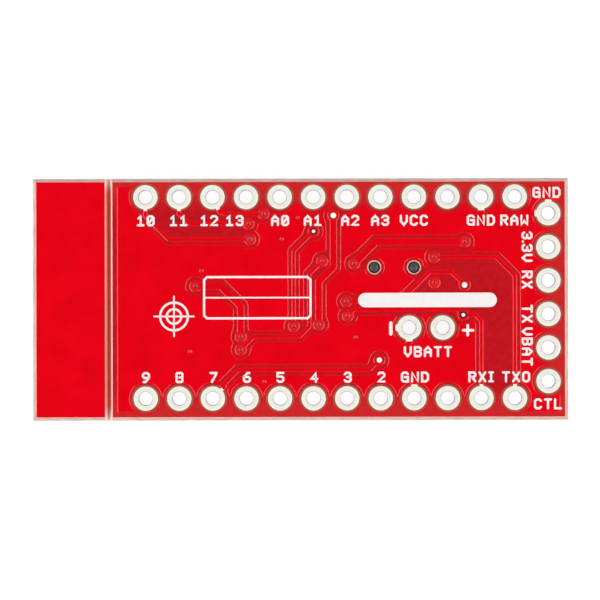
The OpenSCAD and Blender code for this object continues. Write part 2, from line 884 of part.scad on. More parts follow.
module transistor_cases() {
    color("darkslategray")
        for (p = transistor_xys)
            on_front(p)
                moulded_case(transistor_w);
}

module transistor_pins() {
    color("silver")
        for (p = transistor_xys)
            on_front(p)
                gull_leads(transistor_w, transistor_leads, lead_pitch);
}

// The ceramic middle of a chip part that lies along X.
module chip_body(h) {
    block([chip_l - 2 * cap_end_l, chip_w, h]);
}

// The two metal ends of a chip part that lies along X.
module chip_ends(h) {
    for (s = [-1, 1])
        block([cap_end_l, chip_w, h], [s * (chip_l - cap_end_l) / 2, 0]);
}

module resistor_bodies() {
    color("black")
        for (p = resistor_xys)
            on_front(p)
                rotate([0, 0, 90])
                    chip_body(resistor_h);
}

module resistor_ends() {
    color("silver")
        for (p = resistor_xys)
            on_front(p)
                rotate([0, 0, 90])
                    chip_ends(resistor_h);
}

module capacitor_bodies() {
    color("burlywood")
        for (p = capacitor_xys)
            on_front(p)
                chip_body(capacitor_h);
}

module capacitor_ends() {
    color("silver")
        for (p = capacitor_xys)
            on_front(p)
                chip_ends(capacitor_h);
}

laminate();
solder_mask_back();
solder_mask_front();
header_pads_upper();
header_pads_lower();
column_pads();
battery_pads();
vias();
front_lands();
switch_base();
switch_cover();
switch_knob();
switch_springs();
switch_terminals();
socket_housing();
socket_contacts();
socket_hold_downs();
regulator_case();
regulator_pins();
transistor_cases();
transistor_pins();
resistor_bodies();
resistor_ends();
capacitor_bodies();
capacitor_ends();
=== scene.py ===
import math

import bpy
import numpy as np
from bpy.props import FloatProperty, FloatVectorProperty, IntProperty, PointerProperty
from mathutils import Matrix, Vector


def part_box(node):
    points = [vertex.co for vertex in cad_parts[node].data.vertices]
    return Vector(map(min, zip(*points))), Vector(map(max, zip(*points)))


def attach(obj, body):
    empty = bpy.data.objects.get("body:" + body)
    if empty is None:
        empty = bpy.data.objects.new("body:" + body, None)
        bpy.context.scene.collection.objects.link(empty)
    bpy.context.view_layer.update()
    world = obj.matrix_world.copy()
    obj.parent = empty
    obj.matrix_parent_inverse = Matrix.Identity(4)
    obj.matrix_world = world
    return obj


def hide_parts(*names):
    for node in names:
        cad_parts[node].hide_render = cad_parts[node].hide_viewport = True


bl_info = {
    "name": "Receiver board looks",
    "version": (1, 0, 0),
    "blender": (4, 5, 0),
    "location": "View3D > Sidebar > Receiver board",
    "description": "Dresses the packed receiver board with mask relief, solder rings, lettering and finishes",
    "category": "Object",
}

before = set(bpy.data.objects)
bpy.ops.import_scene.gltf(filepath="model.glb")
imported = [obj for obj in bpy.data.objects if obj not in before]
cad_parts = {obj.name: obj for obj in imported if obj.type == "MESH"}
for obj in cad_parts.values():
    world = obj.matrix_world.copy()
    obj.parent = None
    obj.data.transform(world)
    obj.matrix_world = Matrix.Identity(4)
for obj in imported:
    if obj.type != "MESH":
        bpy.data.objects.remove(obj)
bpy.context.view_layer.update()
FILM_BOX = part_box("solder_mask_back")
LAMINATE_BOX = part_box("laminate")
RING_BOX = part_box("header_pads_upper")

# Lengths below are in millimetres, as in the part's source, until a mesh is made.
MM = 0.001
PITCH = 2.54
ROW_PINS = 12
COLUMN_PINS = 6
DATUM = np.array([2.24, 0.135])
ROW_SPACING = 15.24
COLUMN_X = 18.75
SCORE_X = -14.52
SCORE_HALF_W = 0.29
PEGS = np.array([[5.58, 2.41], [8.58, 2.41]])
BATTERY_X, BATTERY_Y = 7.24, -2.285
RING_OPENING_R, PEG_OPENING_R = 1.04, 0.53
# Copper under the film: radii of its rings and of the space around a peg, the ground area's distance from the
# film's edge and from the line of the upper row, the reach of a stub, and the depth beyond which all is alike.
PIN_PAD_R, VIA_PAD_R, PEG_CLEAR_R = 0.94, 0.425, 0.76
POUR_INSET, POUR_DROP = 0.38, 0.55
STUB_REACH = 1.4
DEPTH_LIMIT = 0.6
# Half the width of the film's slope at the edge of copper, and the cells of the film on the tab.
SLOPE = 0.05
TAB_CELLS = (16, 48)
# Patches of the film around pins, pegs and vias: outer radius, radius within which the sheet gives way, and
# points in a ring. Each stands a little over the sheet, so that no two faces coincide.
PIN_PATCH_R, PIN_COVER_R, PIN_SEGMENTS = 1.25, 1.24, 72
PEG_PATCH_R, PEG_COVER_R, PEG_SEGMENTS = 0.85, 0.83, 56
VIA_PATCH_R, VIA_COVER_R, VIA_SEGMENTS, DIMPLE_SEGMENTS = 0.62, 0.59, 44, 40
PATCH_LIFT = 0.002
# Rounded edge of an opening: how far two steps stand back from it, and how far the film falls there.
LIP_BACK = (0.012, 0.035)
LIP_FALL = (0.016, 0.006)
# Dimple over a via: radius of its floor, width of its slope, and rise, radius and width of the rim around it.
DIMPLE_FLOOR_R, DIMPLE_SLOPE = 0.03, 0.14
RIM_RISE, RIM_R, RIM_W = 0.004, 0.3, 0.045
DIMPLE_DEPTH, DEEP_DIMPLE = 0.06, 0.085
# Pin holes: points across a crown, chamfer, plating behind the barrel, and depth of the barrel's upper end.
CROWN_POINTS, CHAMFER, PLATING, BARREL_TOP = 17, 0.02, 0.04, 0.3
# Stub of a ring: half its length, rise, fall at its end, and points along and across.
STUB_HALF_L, STUB_RISE, STUB_FALL = 0.12, 0.055, 0.012
STUB_POINTS = (5, 9)
# Printing: depth of its foot in the film and its rise, and the corners of the label frame.
INK_FOOT, INK_RISE = 0.001, 0.011
FRAME_CORNER = 0.22
# Stage, in metres: the sweep's flat floor and its bend, the lights, and the camera's sensor in millimetres.
FLAT_RADII, BEND_START, BEND_R, SWEEP_SEGMENTS = (0.02, 0.1, 0.3, 0.6), 0.9, 0.5, 72
LAMP_X, LAMP_Y, LAMP_Z, LAMP_SIZE = 0.25, -0.06, 0.24, (0.44, 0.2)
SENSOR_W = 36.0
EYE_SHIFT = (-0.000045, -0.000045)


def mid(x, y):
    """A place on the circuit, from the middle of the pin rows."""
    return DATUM + np.array([x, y])


def up(x, y):
    """A place on the circuit, from the line of the upper row."""
    return mid(x, y + ROW_SPACING / 2)


def low(x, y):
    """A place on the circuit, from the line of the lower row."""
    return mid(x, y - ROW_SPACING / 2)


ROW_X = (np.arange(ROW_PINS) - (ROW_PINS - 1) / 2) * PITCH
UPPER_ROW = np.array([up(x, 0) for x in ROW_X])
LOWER_ROW = np.array([low(x, 0) for x in ROW_X])
COLUMN_Y = DATUM[1] + ((COLUMN_PINS - 1) / 2 - np.arange(COLUMN_PINS)) * PITCH
COLUMN = np.stack([np.full(COLUMN_PINS, COLUMN_X), COLUMN_Y], 1)
BATTERY = np.array([mid(BATTERY_X + side * PITCH / 2, BATTERY_Y) for side in (-1, 1)])
PINS = np.concatenate([UPPER_ROW, LOWER_ROW, COLUMN, BATTERY])

VIA = {
    "d10": up(-6.06, -3.2), "d11": up(-6.17, -2.02), "d12": up(-5.03, -1.28),
    "feed": mid(-10.21, 0.88), "feed_end": mid(-6.77, -2.96),
    "a1": up(-1.25, -2.6), "a1_end": mid(-2.76, -2.15),
    "enable": mid(-0.6, 2.76), "enable_end": mid(-6.77, -3.93),
    "supply": up(0.25, -1.4), "supply_end": mid(-0.86, -2.05),
    "raw": mid(1.83, 2.56), "raw_end": mid(10.18, 4.21),
    "receive": mid(1.21, -0.29), "receive_end": mid(10.18, 0.93),
    "send": mid(1.33, -1.39), "send_end": mid(10.07, -1.33),
    "d7": low(3.71, 2.88), "tx": mid(7.89, 3.05), "lone": mid(7.89, 1.11),
}
DEEP_VIAS = ("d10", "supply_end")
# Radius of the opening in the film over the vias that are open.
OPEN_VIAS = {"a1": 0.13, "supply": 0.22, "d7": 0.2, "receive_end": 0.22, "send_end": 0.14}
GROUND_VIAS = np.array([
    mid(-9.75, 2.02), mid(-10.63, -4.08), low(-5, 1.26), up(-2.43, -1.59), up(-3.65, -3.2), mid(1.92, -3.01),
])

# Traces: (width, path). No copper lies between the traces of a bare area.
THIN, WIDE = 0.26, 0.5
TRACES = [
    (THIN, [UPPER_ROW[0], up(-13.97, -1.45), up(-12.22, -3.2), VIA["d10"]]),
    (THIN, [UPPER_ROW[1], up(-11.43, -1.22), up(-10.63, -2.02), VIA["d11"]]),
    (THIN, [up(-9.26, -0.08), up(-8.06, -1.28), VIA["d12"]]),
    (WIDE, [VIA["feed"], mid(-8.29, 0.88), mid(-6.77, -0.64), VIA["feed_end"]]),
    (THIN, [VIA["a1"], up(-2.76, -4.11), VIA["a1_end"]]),
    (THIN, [VIA["enable"], mid(-1.58, 1.78), mid(-1.58, -2.21), mid(-2.29, -2.92),
            mid(-5.76, -2.92), VIA["enable_end"]]),
    (WIDE, [VIA["supply"], mid(0.25, 2.31), mid(-0.86, 1.2), VIA["supply_end"]]),
    (WIDE, [VIA["raw"], mid(3.48, 4.21), VIA["raw_end"]]),
    (THIN, [VIA["receive"], mid(5.32, -0.29), mid(7.53, 1.92), mid(9.19, 1.92), VIA["receive_end"]]),
    (THIN, [VIA["send"], mid(1.81, -0.91), mid(9.65, -0.91), VIA["send_end"]]),
    (THIN, [VIA["d7"], low(2.99, 2.16), low(-6.95, 2.16), low(-8.9, 0.21)]),
    (THIN, [VIA["tx"], mid(12.53, 3.05), mid(13.97, 1.61), LOWER_ROW[11]]),
    (THIN, [VIA["send_end"], mid(10.97, -1.33), mid(11.43, -1.79), LOWER_ROW[10]]),
]
BARE_AREAS = [
    [UPPER_ROW[0], up(-13.97, -1.45), up(-12.22, -3.2), VIA["d10"], up(-5.6, -2.4), VIA["d12"], up(-6.35, 0)],
    [VIA["tx"], mid(12.53, 3.05), mid(13.97, 1.61), LOWER_ROW[11], LOWER_ROW[10], mid(11.43, -1.79),
     mid(10.97, -1.33), VIA["send_end"], mid(9.65, -0.91), mid(5.94, -0.91), mid(5.32, -0.29), mid(7.53, 1.92)],
]
# Rows of pin holes by node, with the metal that leaves their rings: (place in row, direction in degrees, width).
STUBS = {
    "header_pads_upper": (UPPER_ROW, [(0, -90, 0.28), (1, -90, 0.28), (2, -65, 0.28), (10, -90, 0.5)]),
    "header_pads_lower": (LOWER_ROW, [(2, 45, 0.28), (8, 90, 0.5), (10, 90, 0.28), (11, 90, 0.28)]),
    "column_pads": (COLUMN, [(0, 90, 0.5), (0, 180, 0.5)]),
    "battery_pads": (BATTERY, [(0, 180, 0.5), (0, -90, 0.5)]),
}

# Strokes of each sign, on a field 4 wide and 6 high.
ROUND = [(1, 0), (3, 0), (4, 1), (4, 5), (3, 6), (1, 6), (0, 5), (0, 1), (1, 0)]
SIGNS = {
    "0": [ROUND, [(0.7, 1.3), (3.3, 4.7)]],
    "1": [[(0.5, 4.6), (2, 6), (2, 0)], [(0.2, 0), (3.8, 0)]],
    "2": [[(0, 5), (1, 6), (3, 6), (4, 5), (4, 3.8), (0, 0), (4, 0)]],
    "3": [[(0, 5), (1, 6), (3, 6), (4, 5), (4, 4), (3, 3.1), (1.6, 3.1)],
          [(3, 3.1), (4, 2.2), (4, 1), (3, 0), (1, 0), (0, 1)]],
    "4": [[(3, 0), (3, 6), (0, 2), (4, 2)]],
    "5": [[(4, 6), (0, 6), (0, 3.5), (3, 3.5), (4, 2.6), (4, 1), (3, 0), (1, 0), (0, 0.8)]],
    "6": [[(3.6, 6), (2.4, 6), (0, 3.3), (0, 1), (1, 0), (3, 0), (4, 1), (4, 2.3), (3, 3.3), (0, 3.3)]],
    "7": [[(0, 6), (4, 6), (4, 5.5), (1, 0)]],
    "8": [[(0.6, 3.1), (3.4, 3.1), (4, 3.7), (4, 5.4), (3.4, 6), (0.6, 6), (0, 5.4), (0, 3.7), (0.6, 3.1)],
          [(0.6, 3.1), (3.4, 3.1), (4, 2.5), (4, 0.6), (3.4, 0), (0.6, 0), (0, 0.6), (0, 2.5), (0.6, 3.1)]],
    "9": [[(0.4, 0), (1.6, 0), (4, 2.7), (4, 5), (3, 6), (1, 6), (0, 5), (0, 3.7), (1, 2.7), (4, 2.7)]],
    "A": [[(0, 0), (0, 4), (2, 6), (4, 4), (4, 0)], [(0, 2.6), (4, 2.6)]],
    "B": [[(0, 0), (0, 6), (3, 6), (4, 5), (4, 4), (3, 3.1), (0, 3.1)],
          [(3, 3.1), (4, 2.2), (4, 1), (3, 0), (0, 0)]],
    "C": [[(4, 5), (3, 6), (1, 6), (0, 5), (0, 1), (1, 0), (3, 0), (4, 1)]],
    "D": [[(0, 0), (0, 6), (2.6, 6), (4, 4.6), (4, 1.4), (2.6, 0), (0, 0)]],
    "G": [[(4, 5), (3, 6), (1, 6), (0, 5), (0, 1), (1, 0), (4, 0), (4, 3), (2, 3)]],
    "I": [[(0.8, 6), (3.2, 6)], [(2, 6), (2, 0)], [(0.8, 0), (3.2, 0)]],
    "L": [[(0, 6), (0, 0), (4, 0)]],
    "N": [[(0, 0), (0, 6), (4, 0), (4, 6)]],
    "O": [ROUND],
    "R": [[(0, 0), (0, 6), (3, 6), (4, 5), (4, 4), (3, 3), (0, 3)], [(1.8, 3), (4, 0)]],
    "T": [[(0, 6), (4, 6)], [(2, 6), (2, 0)]],
    "V": [[(0, 6), (0, 2.4), (2, 0), (4, 2.4), (4, 6)]],
    "W": [[(0, 6), (0, 0), (2, 2.4), (4, 0), (4, 6)]],
    "X": [[(0, 6), (4, 0)], [(0, 0), (4, 6)]],
    ".": [[(1.9, 0.1), (2.1, 0.1)]],
}
# Words in lines: (turn in degrees, the place that all share, words, the place of each along the line).
WORD_LINES = [
    (0, 5.97, "10 11 12 13 A0 A1 A2 A3 VCC GND RAW",
     (-11.71, -9.22, -6.91, -4.98, -1.54, 0.93, 3.76, 6.03, 8.58, 13.65, 16.18)),
    (0, 8.06, "GND", (18.62,)),
    (-90, 17.14, "3.3V RX TX VBAT", (3.96, 1.46, -1.12, -3.6)),
    (0, -7.94, "CTL", (18.7,)),
    (0, -5.89, "9 8 7 6 5 4 3 2 GND RXI TXO",
     (-11.71, -9.18, -6.61, -4.07, -1.54, 1.03, 3.55, 6.1, 8.64, 13.69, 16.29)),
    (0, -3.97, "VBATT", (9.62,)),
]
# Printed marks: straight strokes as (x, y, x, y) and width, the label frame, and the target.
POLES = [((6.82, -2.62, 6.82, -1.8), 0.26), ((12.3, -2.36, 13.04, -2.36), 0.2), ((12.64, -2.73, 12.64, -1.99), 0.2)]
FRAME, DIVIDER = (-7.3, -1.42, 0.75, 1.7), ((-7.2, 0.14, 0.65, 0.14), 0.12)
TARGET, TARGET_RADII, TARGET_ARM, TARGET_W = (-9.58, -1.27), (1.05, 0.55), 1.5, 0.13
NOTE_BAR = ((4.9, -0.06, 14.3, -0.06), 1.1)


# ---- settings ----


def tint(name, description, default):
    """A colour that a user may change."""
    return FloatVectorProperty(
        name=name, description=description, subtype="COLOR", default=default, min=0, max=1)


def length(name, description, default, precision):
    """A length that a user may change, in metres."""
    return FloatProperty(
        name=name, description=description, unit="LENGTH", default=default, precision=precision)


class RECEIVER_MaskSettings(bpy.types.PropertyGroup):
    over_copper: tint("Red over copper", "Colour of the film where copper lies under it", (0.80, 0.0, 0.007))
    over_laminate: tint("Red over laminate", "Colour of the film on bare laminate", (0.545, 0.007, 0.0135))
    over_ring: tint("Red over via rings", "Colour of the thin film on the ring of a via", (0.56, 0.035, 0.04))
    # Painted light: the film on bare laminate near the cut edges is lightened by this colour, for light that comes
    # in through the edges.
    edge_painted_light: tint("Red by the edges", "Colour of the film on laminate near the cut edges", (0.62, 0.019, 0.021))
    # Painted shade: the film over a via's hole is darkened by this colour, for the shade in the hole.
    via_shade_tint: tint("Red in vias", "Colour of the film that has sunk into a via", (0.05, 0.003, 0.004))
    relief: length("Relief", "Height at which the film stands over copper", 0.00003, 6)
    gap: length("Gap", "Bare strip between the ground area and a trace", 0.0003, 5)
    cell: length("Cell", "Size of a cell of the film's surface", 0.000088, 6)


class RECEIVER_RingSettings(bpy.types.PropertyGroup):
    outer: length("Ring diameter", "Outer diameter of a solder-coated ring", 0.00185, 5)
    hole: length("Hole diameter", "Finished diameter of a pin hole", 0.001016, 6)
    colour: tint("Solder", "Colour of the levelled solder", (0.87, 0.88, 0.81))
    rim: tint("Rim", "Colour of the solder at a ring's outer rim", (1.0, 0.92, 0.79))
    lip: tint("Lip", "Colour of the solder at the edge of a hole", (0.55, 0.47, 0.47))
    segments: IntProperty(
        name="Segments", description="Faces around a ring", default=64, min=16)


class RECEIVER_LetterSettings(bpy.types.PropertyGroup):
    height: length("Letter height", "Height of a letter between the middles of its strokes", 0.00067, 5)
    width: length("Letter width", "Width of a letter between the middles of its strokes", 0.000445, 6)
    advance: length("Advance", "Distance from one letter to the next", 0.00076, 5)
    stroke: length("Stroke", "Width of a printed stroke", 0.00017, 5)
    ink: tint("Ink", "Colour of the printing ink", (0.92, 0.87, 0.85))


class RECEIVER_BoardSettings(bpy.types.PropertyGroup):
    laminate: tint("Laminate", "Colour of the cut laminate", (0.62, 0.42, 0.35))
    fibre: tint("Fibre", "Colour of the glass fibre in a cut edge", (0.76, 0.60, 0.50))
    stain: tint("Score stain", "Tint of the score line's slopes", (0.98, 0.36, 0.33))
    score_floor: tint("Score floor", "Tint of the score line's bottom", (1.0, 0.25, 0.13))
    # Painted highlight on the score line's right slope, which is given a paler tint than the left; the same tint is
    # the pale cut laminate at the score line's ends.
    score_pale_and_highlight: tint("Score crest", "Tint of the score line's right slope", (0.95, 0.70, 0.64))
    score_shade: tint("Score shade", "Tint of the foot of the score line's right slope", (0.46, 0.17, 0.15))
    # Painted shade: the laminate's top face between a ring and the film is darkened by this colour, for the shade
    # in that narrow gap.
    ring_gap_shade: tint("Opened laminate", "Colour of the face between a ring and the film", (0.32, 0.09, 0.05))


class RECEIVER_PartSettings(bpy.types.PropertyGroup):
    base: tint("Switch base", "Colour of the switch's moulded base", (0.08, 0.08, 0.08))
    knob: tint("Knob", "Colour of the switch's knob", (0.02, 0.02, 0.022))
    socket: tint("Socket", "Colour of the cable socket's housing", (0.80, 0.74, 0.60))
    tin: tint("Tin", "Colour of the tinned leads", (0.72, 0.72, 0.70))
    gold: tint("Gold", "Colour of the plated contacts", (0.85, 0.62, 0.22))


class RECEIVER_StageSettings(bpy.types.PropertyGroup):
    distance: FloatProperty(
        name="Camera distance", description="Height of the camera over the floor",
        unit="LENGTH", default=0.6)
    view_width: length("View width", "Width that the picture shows at the board's upper face", 0.04539, 5)
    roll: FloatProperty(
        name="Camera roll", description="Turn of the camera about its line of sight",
        subtype="ANGLE", default=-0.0021, precision=4)
    key: FloatProperty(
        name="Key light", description="Power of the light at the left", unit="POWER", default=0.72)
    fill: FloatProperty(
        name="Fill light", description="Power of the light at the right", unit="POWER", default=0.66)
    ambient: FloatProperty(
        name="Ambient", description="Strength of the soft light from all sides", default=1.15)
    ceiling: FloatProperty(
        name="Ceiling", description="Strength of the light from straight above", default=0.02)


# ---- shader nodes ----


def add(tree, kind, **settings):
    """A new node with its settings."""
    node = tree.nodes.new(kind)
    for key, value in settings.items():
        setattr(node, key, value)
    return node


def put(socket, value):
    """Sets an input, or links it to another node's output."""
    if isinstance(value, bpy.types.NodeSocket):
        socket.id_data.links.new(value, socket)
    else:
        socket.default_value = value


def feed(node, **values):
    """Sets or links inputs. A socket is named with underscores for its spaces."""
    for key, value in values.items():
        put(node.inputs[key.replace("_", " ")], value)
    return node


def calc(tree, operation, a, b=0.0, clamp=False):
    """One step of arithmetic."""
    node = add(tree, "ShaderNodeMath", operation=operation, use_clamp=clamp)
    for socket, value in zip(node.inputs, (a, b)):
        put(socket, value)
    return node.outputs[0]


def step(tree, value, low_end, high_end, start=0.0, end=1.0):
    """A smooth step of a value between two ends."""
    node = add(tree, "ShaderNodeMapRange", interpolation_type="SMOOTHSTEP")
    feed(node, Value=value, From_Min=low_end, From_Max=high_end, To_Min=start, To_Max=end)
    return node.outputs["Result"]


def blend(tree, factor, first, second):
    """A colour between two others."""
    node = add(tree, "ShaderNodeMix", data_type="RGBA")
    for index, value in ((0, factor), (6, first), (7, second)):
        put(node.inputs[index], value)
    return node.outputs[2]


def band(tree, value, rise, fall):
    """One where a length lies between two smooth steps, whose ends are given in millimetres."""
    rising, falling = (step(tree, value, low_end * MM, high_end * MM) for low_end, high_end in (rise, fall))
    return calc(tree, "MULTIPLY", rising, falling)


def rgba(colour):
    """A colour with full cover."""
    return (*colour, 1.0)


def new_group(name, inputs, outputs):
    """An empty node group with its sockets, given as (name, socket type, default)."""
    tree = bpy.data.node_groups.new(name, "ShaderNodeTree")
    for label, kind, default in inputs:
        tree.interface.new_socket(label, in_out="INPUT", socket_type=kind).default_value = default
    for label, kind in outputs:
        tree.interface.new_socket(label, in_out="OUTPUT", socket_type=kind)
    return tree, add(tree, "NodeGroupInput"), add(tree, "NodeGroupOutput")


def tone_group():
    """Colour that drifts lighter and darker over the surface by noise, about as far as the amount says."""
    tree, start, end = new_group(
        "tone_drift",
        [("Color", "NodeSocketColor", (1, 1, 1, 1)), ("Scale", "NodeSocketFloat", 900.0),
         ("Amount", "NodeSocketFloat", 0.1)],
        [("Color", "NodeSocketColor")])
    place = add(tree, "ShaderNodeTexCoord")
    noise = add(tree, "ShaderNodeTexNoise")
    feed(noise, Vector=place.outputs["Object"], Scale=start.outputs["Scale"], Detail=4.0, Roughness=0.55)
    swing = calc(tree, "MULTIPLY", calc(tree, "SUBTRACT", noise.outputs[0], 0.5), start.outputs["Amount"])
    gain = calc(tree, "ADD", calc(tree, "MULTIPLY", swing, 2.6), 1.0)
    scaled = add(tree, "ShaderNodeVectorMath", operation="SCALE")
    feed(scaled, Vector=start.outputs["Color"], Scale=gain)
    tree.links.new(scaled.outputs[0], end.inputs["Color"])
    return tree


def grain_group():
    """Fine grain of a surface: a roughness that varies around its base, and a height for a bump."""
    tree, start, end = new_group(
        "fine_grain",
        [("Scale", "NodeSocketFloat", 5000.0), ("Base", "NodeSocketFloat", 0.4),
         ("Spread", "NodeSocketFloat", 0.1)],
        [("Roughness", "NodeSocketFloat"), ("Height", "NodeSocketFloat")])
    place = add(tree, "ShaderNodeTexCoord")
    noise = add(tree, "ShaderNodeTexNoise")
    feed(noise, Vector=place.outputs["Object"], Scale=start.outputs["Scale"], Detail=3.0, Roughness=0.6)
    swing = calc(tree, "MULTIPLY", calc(tree, "SUBTRACT", noise.outputs[0], 0.5), start.outputs["Spread"])
    tree.links.new(calc(tree, "ADD", start.outputs["Base"], swing, clamp=True), end.inputs["Roughness"])
    tree.links.new(noise.outputs[0], end.inputs["Height"])
    return tree


def shared(name, build):
    """A node group, made on its first use."""
    return bpy.data.node_groups.get(name) or build()


def emptied(owner):
    """The node tree of a material or world, with nothing in it."""
    owner.use_nodes = True
    owner.node_tree.nodes.clear()
    return owner.node_tree


def blank_material(name):
    """A material with a bare Principled shader. Gives the material, its tree and the shader."""
    material = bpy.data.materials.new(name)
    tree = emptied(material)
    shader = add(tree, "ShaderNodeBsdfPrincipled")
    out = add(tree, "ShaderNodeOutputMaterial")
    tree.links.new(shader.outputs[0], out.inputs["Surface"])
    return material, tree, shader


def tone(tree, colour, scale, amount):
    """The shared drifting colour."""
    node = add(tree, "ShaderNodeGroup", node_tree=shared("tone_drift", tone_group))
    feed(node, Color=rgba(colour), Scale=scale, Amount=amount)
    return node.outputs["Color"]


def grain(tree, shader, scale, base, spread, depth, under=None):
    """The shared grain on a shader's roughness and normal, over a bump that lies under it."""
    node = add(tree, "ShaderNodeGroup", node_tree=shared("fine_grain", grain_group))
    feed(node, Scale=scale, Base=base, Spread=spread)
    bump = add(tree, "ShaderNodeBump")
    feed(bump, Strength=1.0, Distance=depth, Height=node.outputs["Height"])
    if under is not None:
        feed(bump, Normal=under)
    feed(shader, Roughness=node.outputs["Roughness"], Normal=bump.outputs[0])


def plain_finish(name, colour, rough, metallic=0.0, drift=0.1, drift_scale=700.0,
                 grain_scale=6000.0, depth=0.000002, spread=0.15):
    """A moulded, ceramic or metal finish with drifting tone and fine grain."""
    material, tree, shader = blank_material(name)
    feed(shader, Base_Color=tone(tree, colour, drift_scale, drift), Metallic=metallic)
    grain(tree, shader, grain_scale, rough, spread, depth)
    return material


def attribute(tree, name):
    """A value that the mesh carries."""
    return add(tree, "ShaderNodeAttribute", attribute_type="GEOMETRY", attribute_name=name).outputs["Fac"]


# ---- surfaces ----


def grid_quads(rows, columns, wrap=False):
    """Corner numbers of the quads of a grid of points, row by row. A wrapped grid joins its last column to
    its first."""
    across = columns if wrap else columns - 1
    r, c = np.meshgrid(np.arange(rows - 1), np.arange(across), indexing="ij")
    after = (c + 1) % columns
    corners = [r * columns + c, r * columns + after, (r + 1) * columns + after, (r + 1) * columns + c]
    return np.stack(corners, -1).reshape(-1, 4)


def fan(middle, first, count):
    """Triangles between a middle point and the ring of points around it."""
    return [[middle, first + (i + 1) % count, first + i] for i in range(count)]


def make_piece(name, points, faces, material, body="board", values=None, normals=None):
    """A smooth mesh from points in millimetres, with values carried by its points, riding on a body."""
    mesh = bpy.data.meshes.new(name)
    mesh.from_pydata((points * MM).tolist(), [], faces)
    for key, value in (values or {}).items():
        layer = mesh.attributes.new(key, "FLOAT", "POINT")
        layer.data.foreach_set("value", value.astype(np.float32))
    mesh.shade_smooth()
    if normals is not None:
        mesh.normals_split_custom_set_from_vertices(normals.tolist())
    mesh.materials.append(material)
    piece = bpy.data.objects.new(name, mesh)
    bpy.context.scene.collection.objects.link(piece)
    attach(piece, body)
    return piece


def smooth(value, low_end, high_end):
    """The smooth step 3t^2 - 2t^3 of a value between two ends."""
    t = np.clip((value - low_end) / (high_end - low_end), 0, 1)
    return t * t * (3 - 2 * t)


def from_path(x, y, path):
    """Distance of points from a path: the least distance from any of its straight lengths."""
    least = np.full(x.shape, np.inf)
    for a, b in zip(path[:-1], path[1:]):
        run = b - a
        t = np.clip(((x - a[0]) * run[0] + (y - a[1]) * run[1]) / (run @ run), 0, 1)
        least = np.minimum(least, np.hypot(x - a[0] - t * run[0], y - a[1] - t * run[1]))
    return least


def in_polygon(x, y, corners):
    """Depth of points inside a polygon, negative outside: distance from its outline, signed by crossings."""
    depth = from_path(x, y, corners + corners[:1])
    inside = np.zeros(x.shape, bool)
    for a, b in zip(corners, corners[1:] + corners[:1]):
        if a[1] != b[1]:
            crosses = (a[1] > y) != (b[1] > y)
            inside ^= crosses & (x < (b[0] - a[0]) * (y - a[1]) / (b[1] - a[1]) + a[0])
    return np.where(inside, depth, -depth)


def from_places(x, y, places):
    """Distance of points from the nearest of some places."""
    least = np.full(x.shape, np.inf)
    for px, py in places:
        least = np.minimum(least, np.hypot(x - px, y - py))
    return least


def meet(first, second, width=0.25):
    """The lesser of two depths, lowered by a parabola where they come within a width of each other, so that
    corners are rounded and slivers between two gaps go."""
    near = np.maximum(width - np.abs(first - second), 0) / width
    return np.minimum(first, second) - near ** 2 * width / 4


def copper_depth(x, y, gap):
    """How far points lie inside the copper, negative outside it. The ground area is its rectangle less a gap
    around every pin, via, peg and trace, and the copper is the greatest of it, the traces, rings and spokes."""
    lo, hi = FILM_BOX[0] / MM, FILM_BOX[1] / MM
    pour = np.minimum.reduce([x - (SCORE_X + SCORE_HALF_W + POUR_INSET), hi.x - POUR_INSET - x,
                              y - lo.y - POUR_INSET, hi.y - POUR_INSET - y])
    outer_x = (x > UPPER_ROW[0][0]) & (x < UPPER_ROW[-1][0])
    beside = np.maximum(y - DATUM[1] + POUR_DROP, DATUM[1] - y) - ROW_SPACING / 2
    pour = np.where(outer_x, np.minimum(pour, -beside), pour)
    outer_y = (y > COLUMN[-1][1]) & (y < COLUMN[0][1])
    pour = np.where(outer_y, np.minimum(pour, COLUMN_X - x), pour)
    signal = np.array(list(VIA.values()))
    pour = meet(pour, from_places(x, y, PINS) - PIN_PAD_R - gap)
    pour = meet(pour, from_places(x, y, signal) - VIA_PAD_R - gap)
    pour = meet(pour, from_places(x, y, PEGS) - PEG_CLEAR_R)
    for area in BARE_AREAS:
        pour = np.minimum(pour, -in_polygon(x, y, area))
    laid = VIA_PAD_R - from_places(x, y, signal)
    for width, path in TRACES:
        away = from_path(x, y, path)
        pour = meet(pour, away - width / 2 - gap)
        laid = np.maximum(laid, width / 2 - away)
    for row, stubs in STUBS.values():
        for place, turn, width in stubs:
            way = np.array([math.cos(math.radians(turn)), math.sin(math.radians(turn))])
            tip = row[place] + way * (STUB_REACH - width / 2)
            laid = np.maximum(laid, width / 2 - from_path(x, y, [row[place], tip]))
    return np.clip(np.maximum(pour, laid), -DEPTH_LIMIT, DEPTH_LIMIT)


def polar(centre, radii, segments):
    """Points of rings around a centre, as x, y and radius, ring by ring, clockwise so that faces look up."""
    turn = -np.arange(segments) * 2 * np.pi / segments
    r = np.repeat(radii[:, None], segments, 1)
    return (centre[0] + r * np.cos(turn)).ravel(), (centre[1] + r * np.sin(turn)).ravel(), r.ravel()


class Surface:
    """Collects patches of one mesh: points, quads, carried values and fixed normals."""

    def __init__(self):
        self.points, self.faces, self.normals, self.count = [], [], [], 0
        self.values = {"copper_depth": [], "via_painted_shade": [], "film_thin": []}

    def put(self, x, y, z, depth, sunk, thin, flat, quads, extra=()):
        """Adds a patch. Where flat is true the shading normal is straight up, and elsewhere that of the faces."""
        self.points.append(np.stack([x, y, z], 1))
        for key, value in zip(self.values, (depth, sunk, thin)):
            self.values[key].append(np.broadcast_to(value, x.shape))
        self.normals.append(np.where(flat[:, None], [0.0, 0.0, 1.0], [0.0, 0.0, 0.0]))
        self.faces.extend((quads + self.count).tolist())
        self.faces.extend([[i + self.count for i in face] for face in extra])
        self.count += len(x)


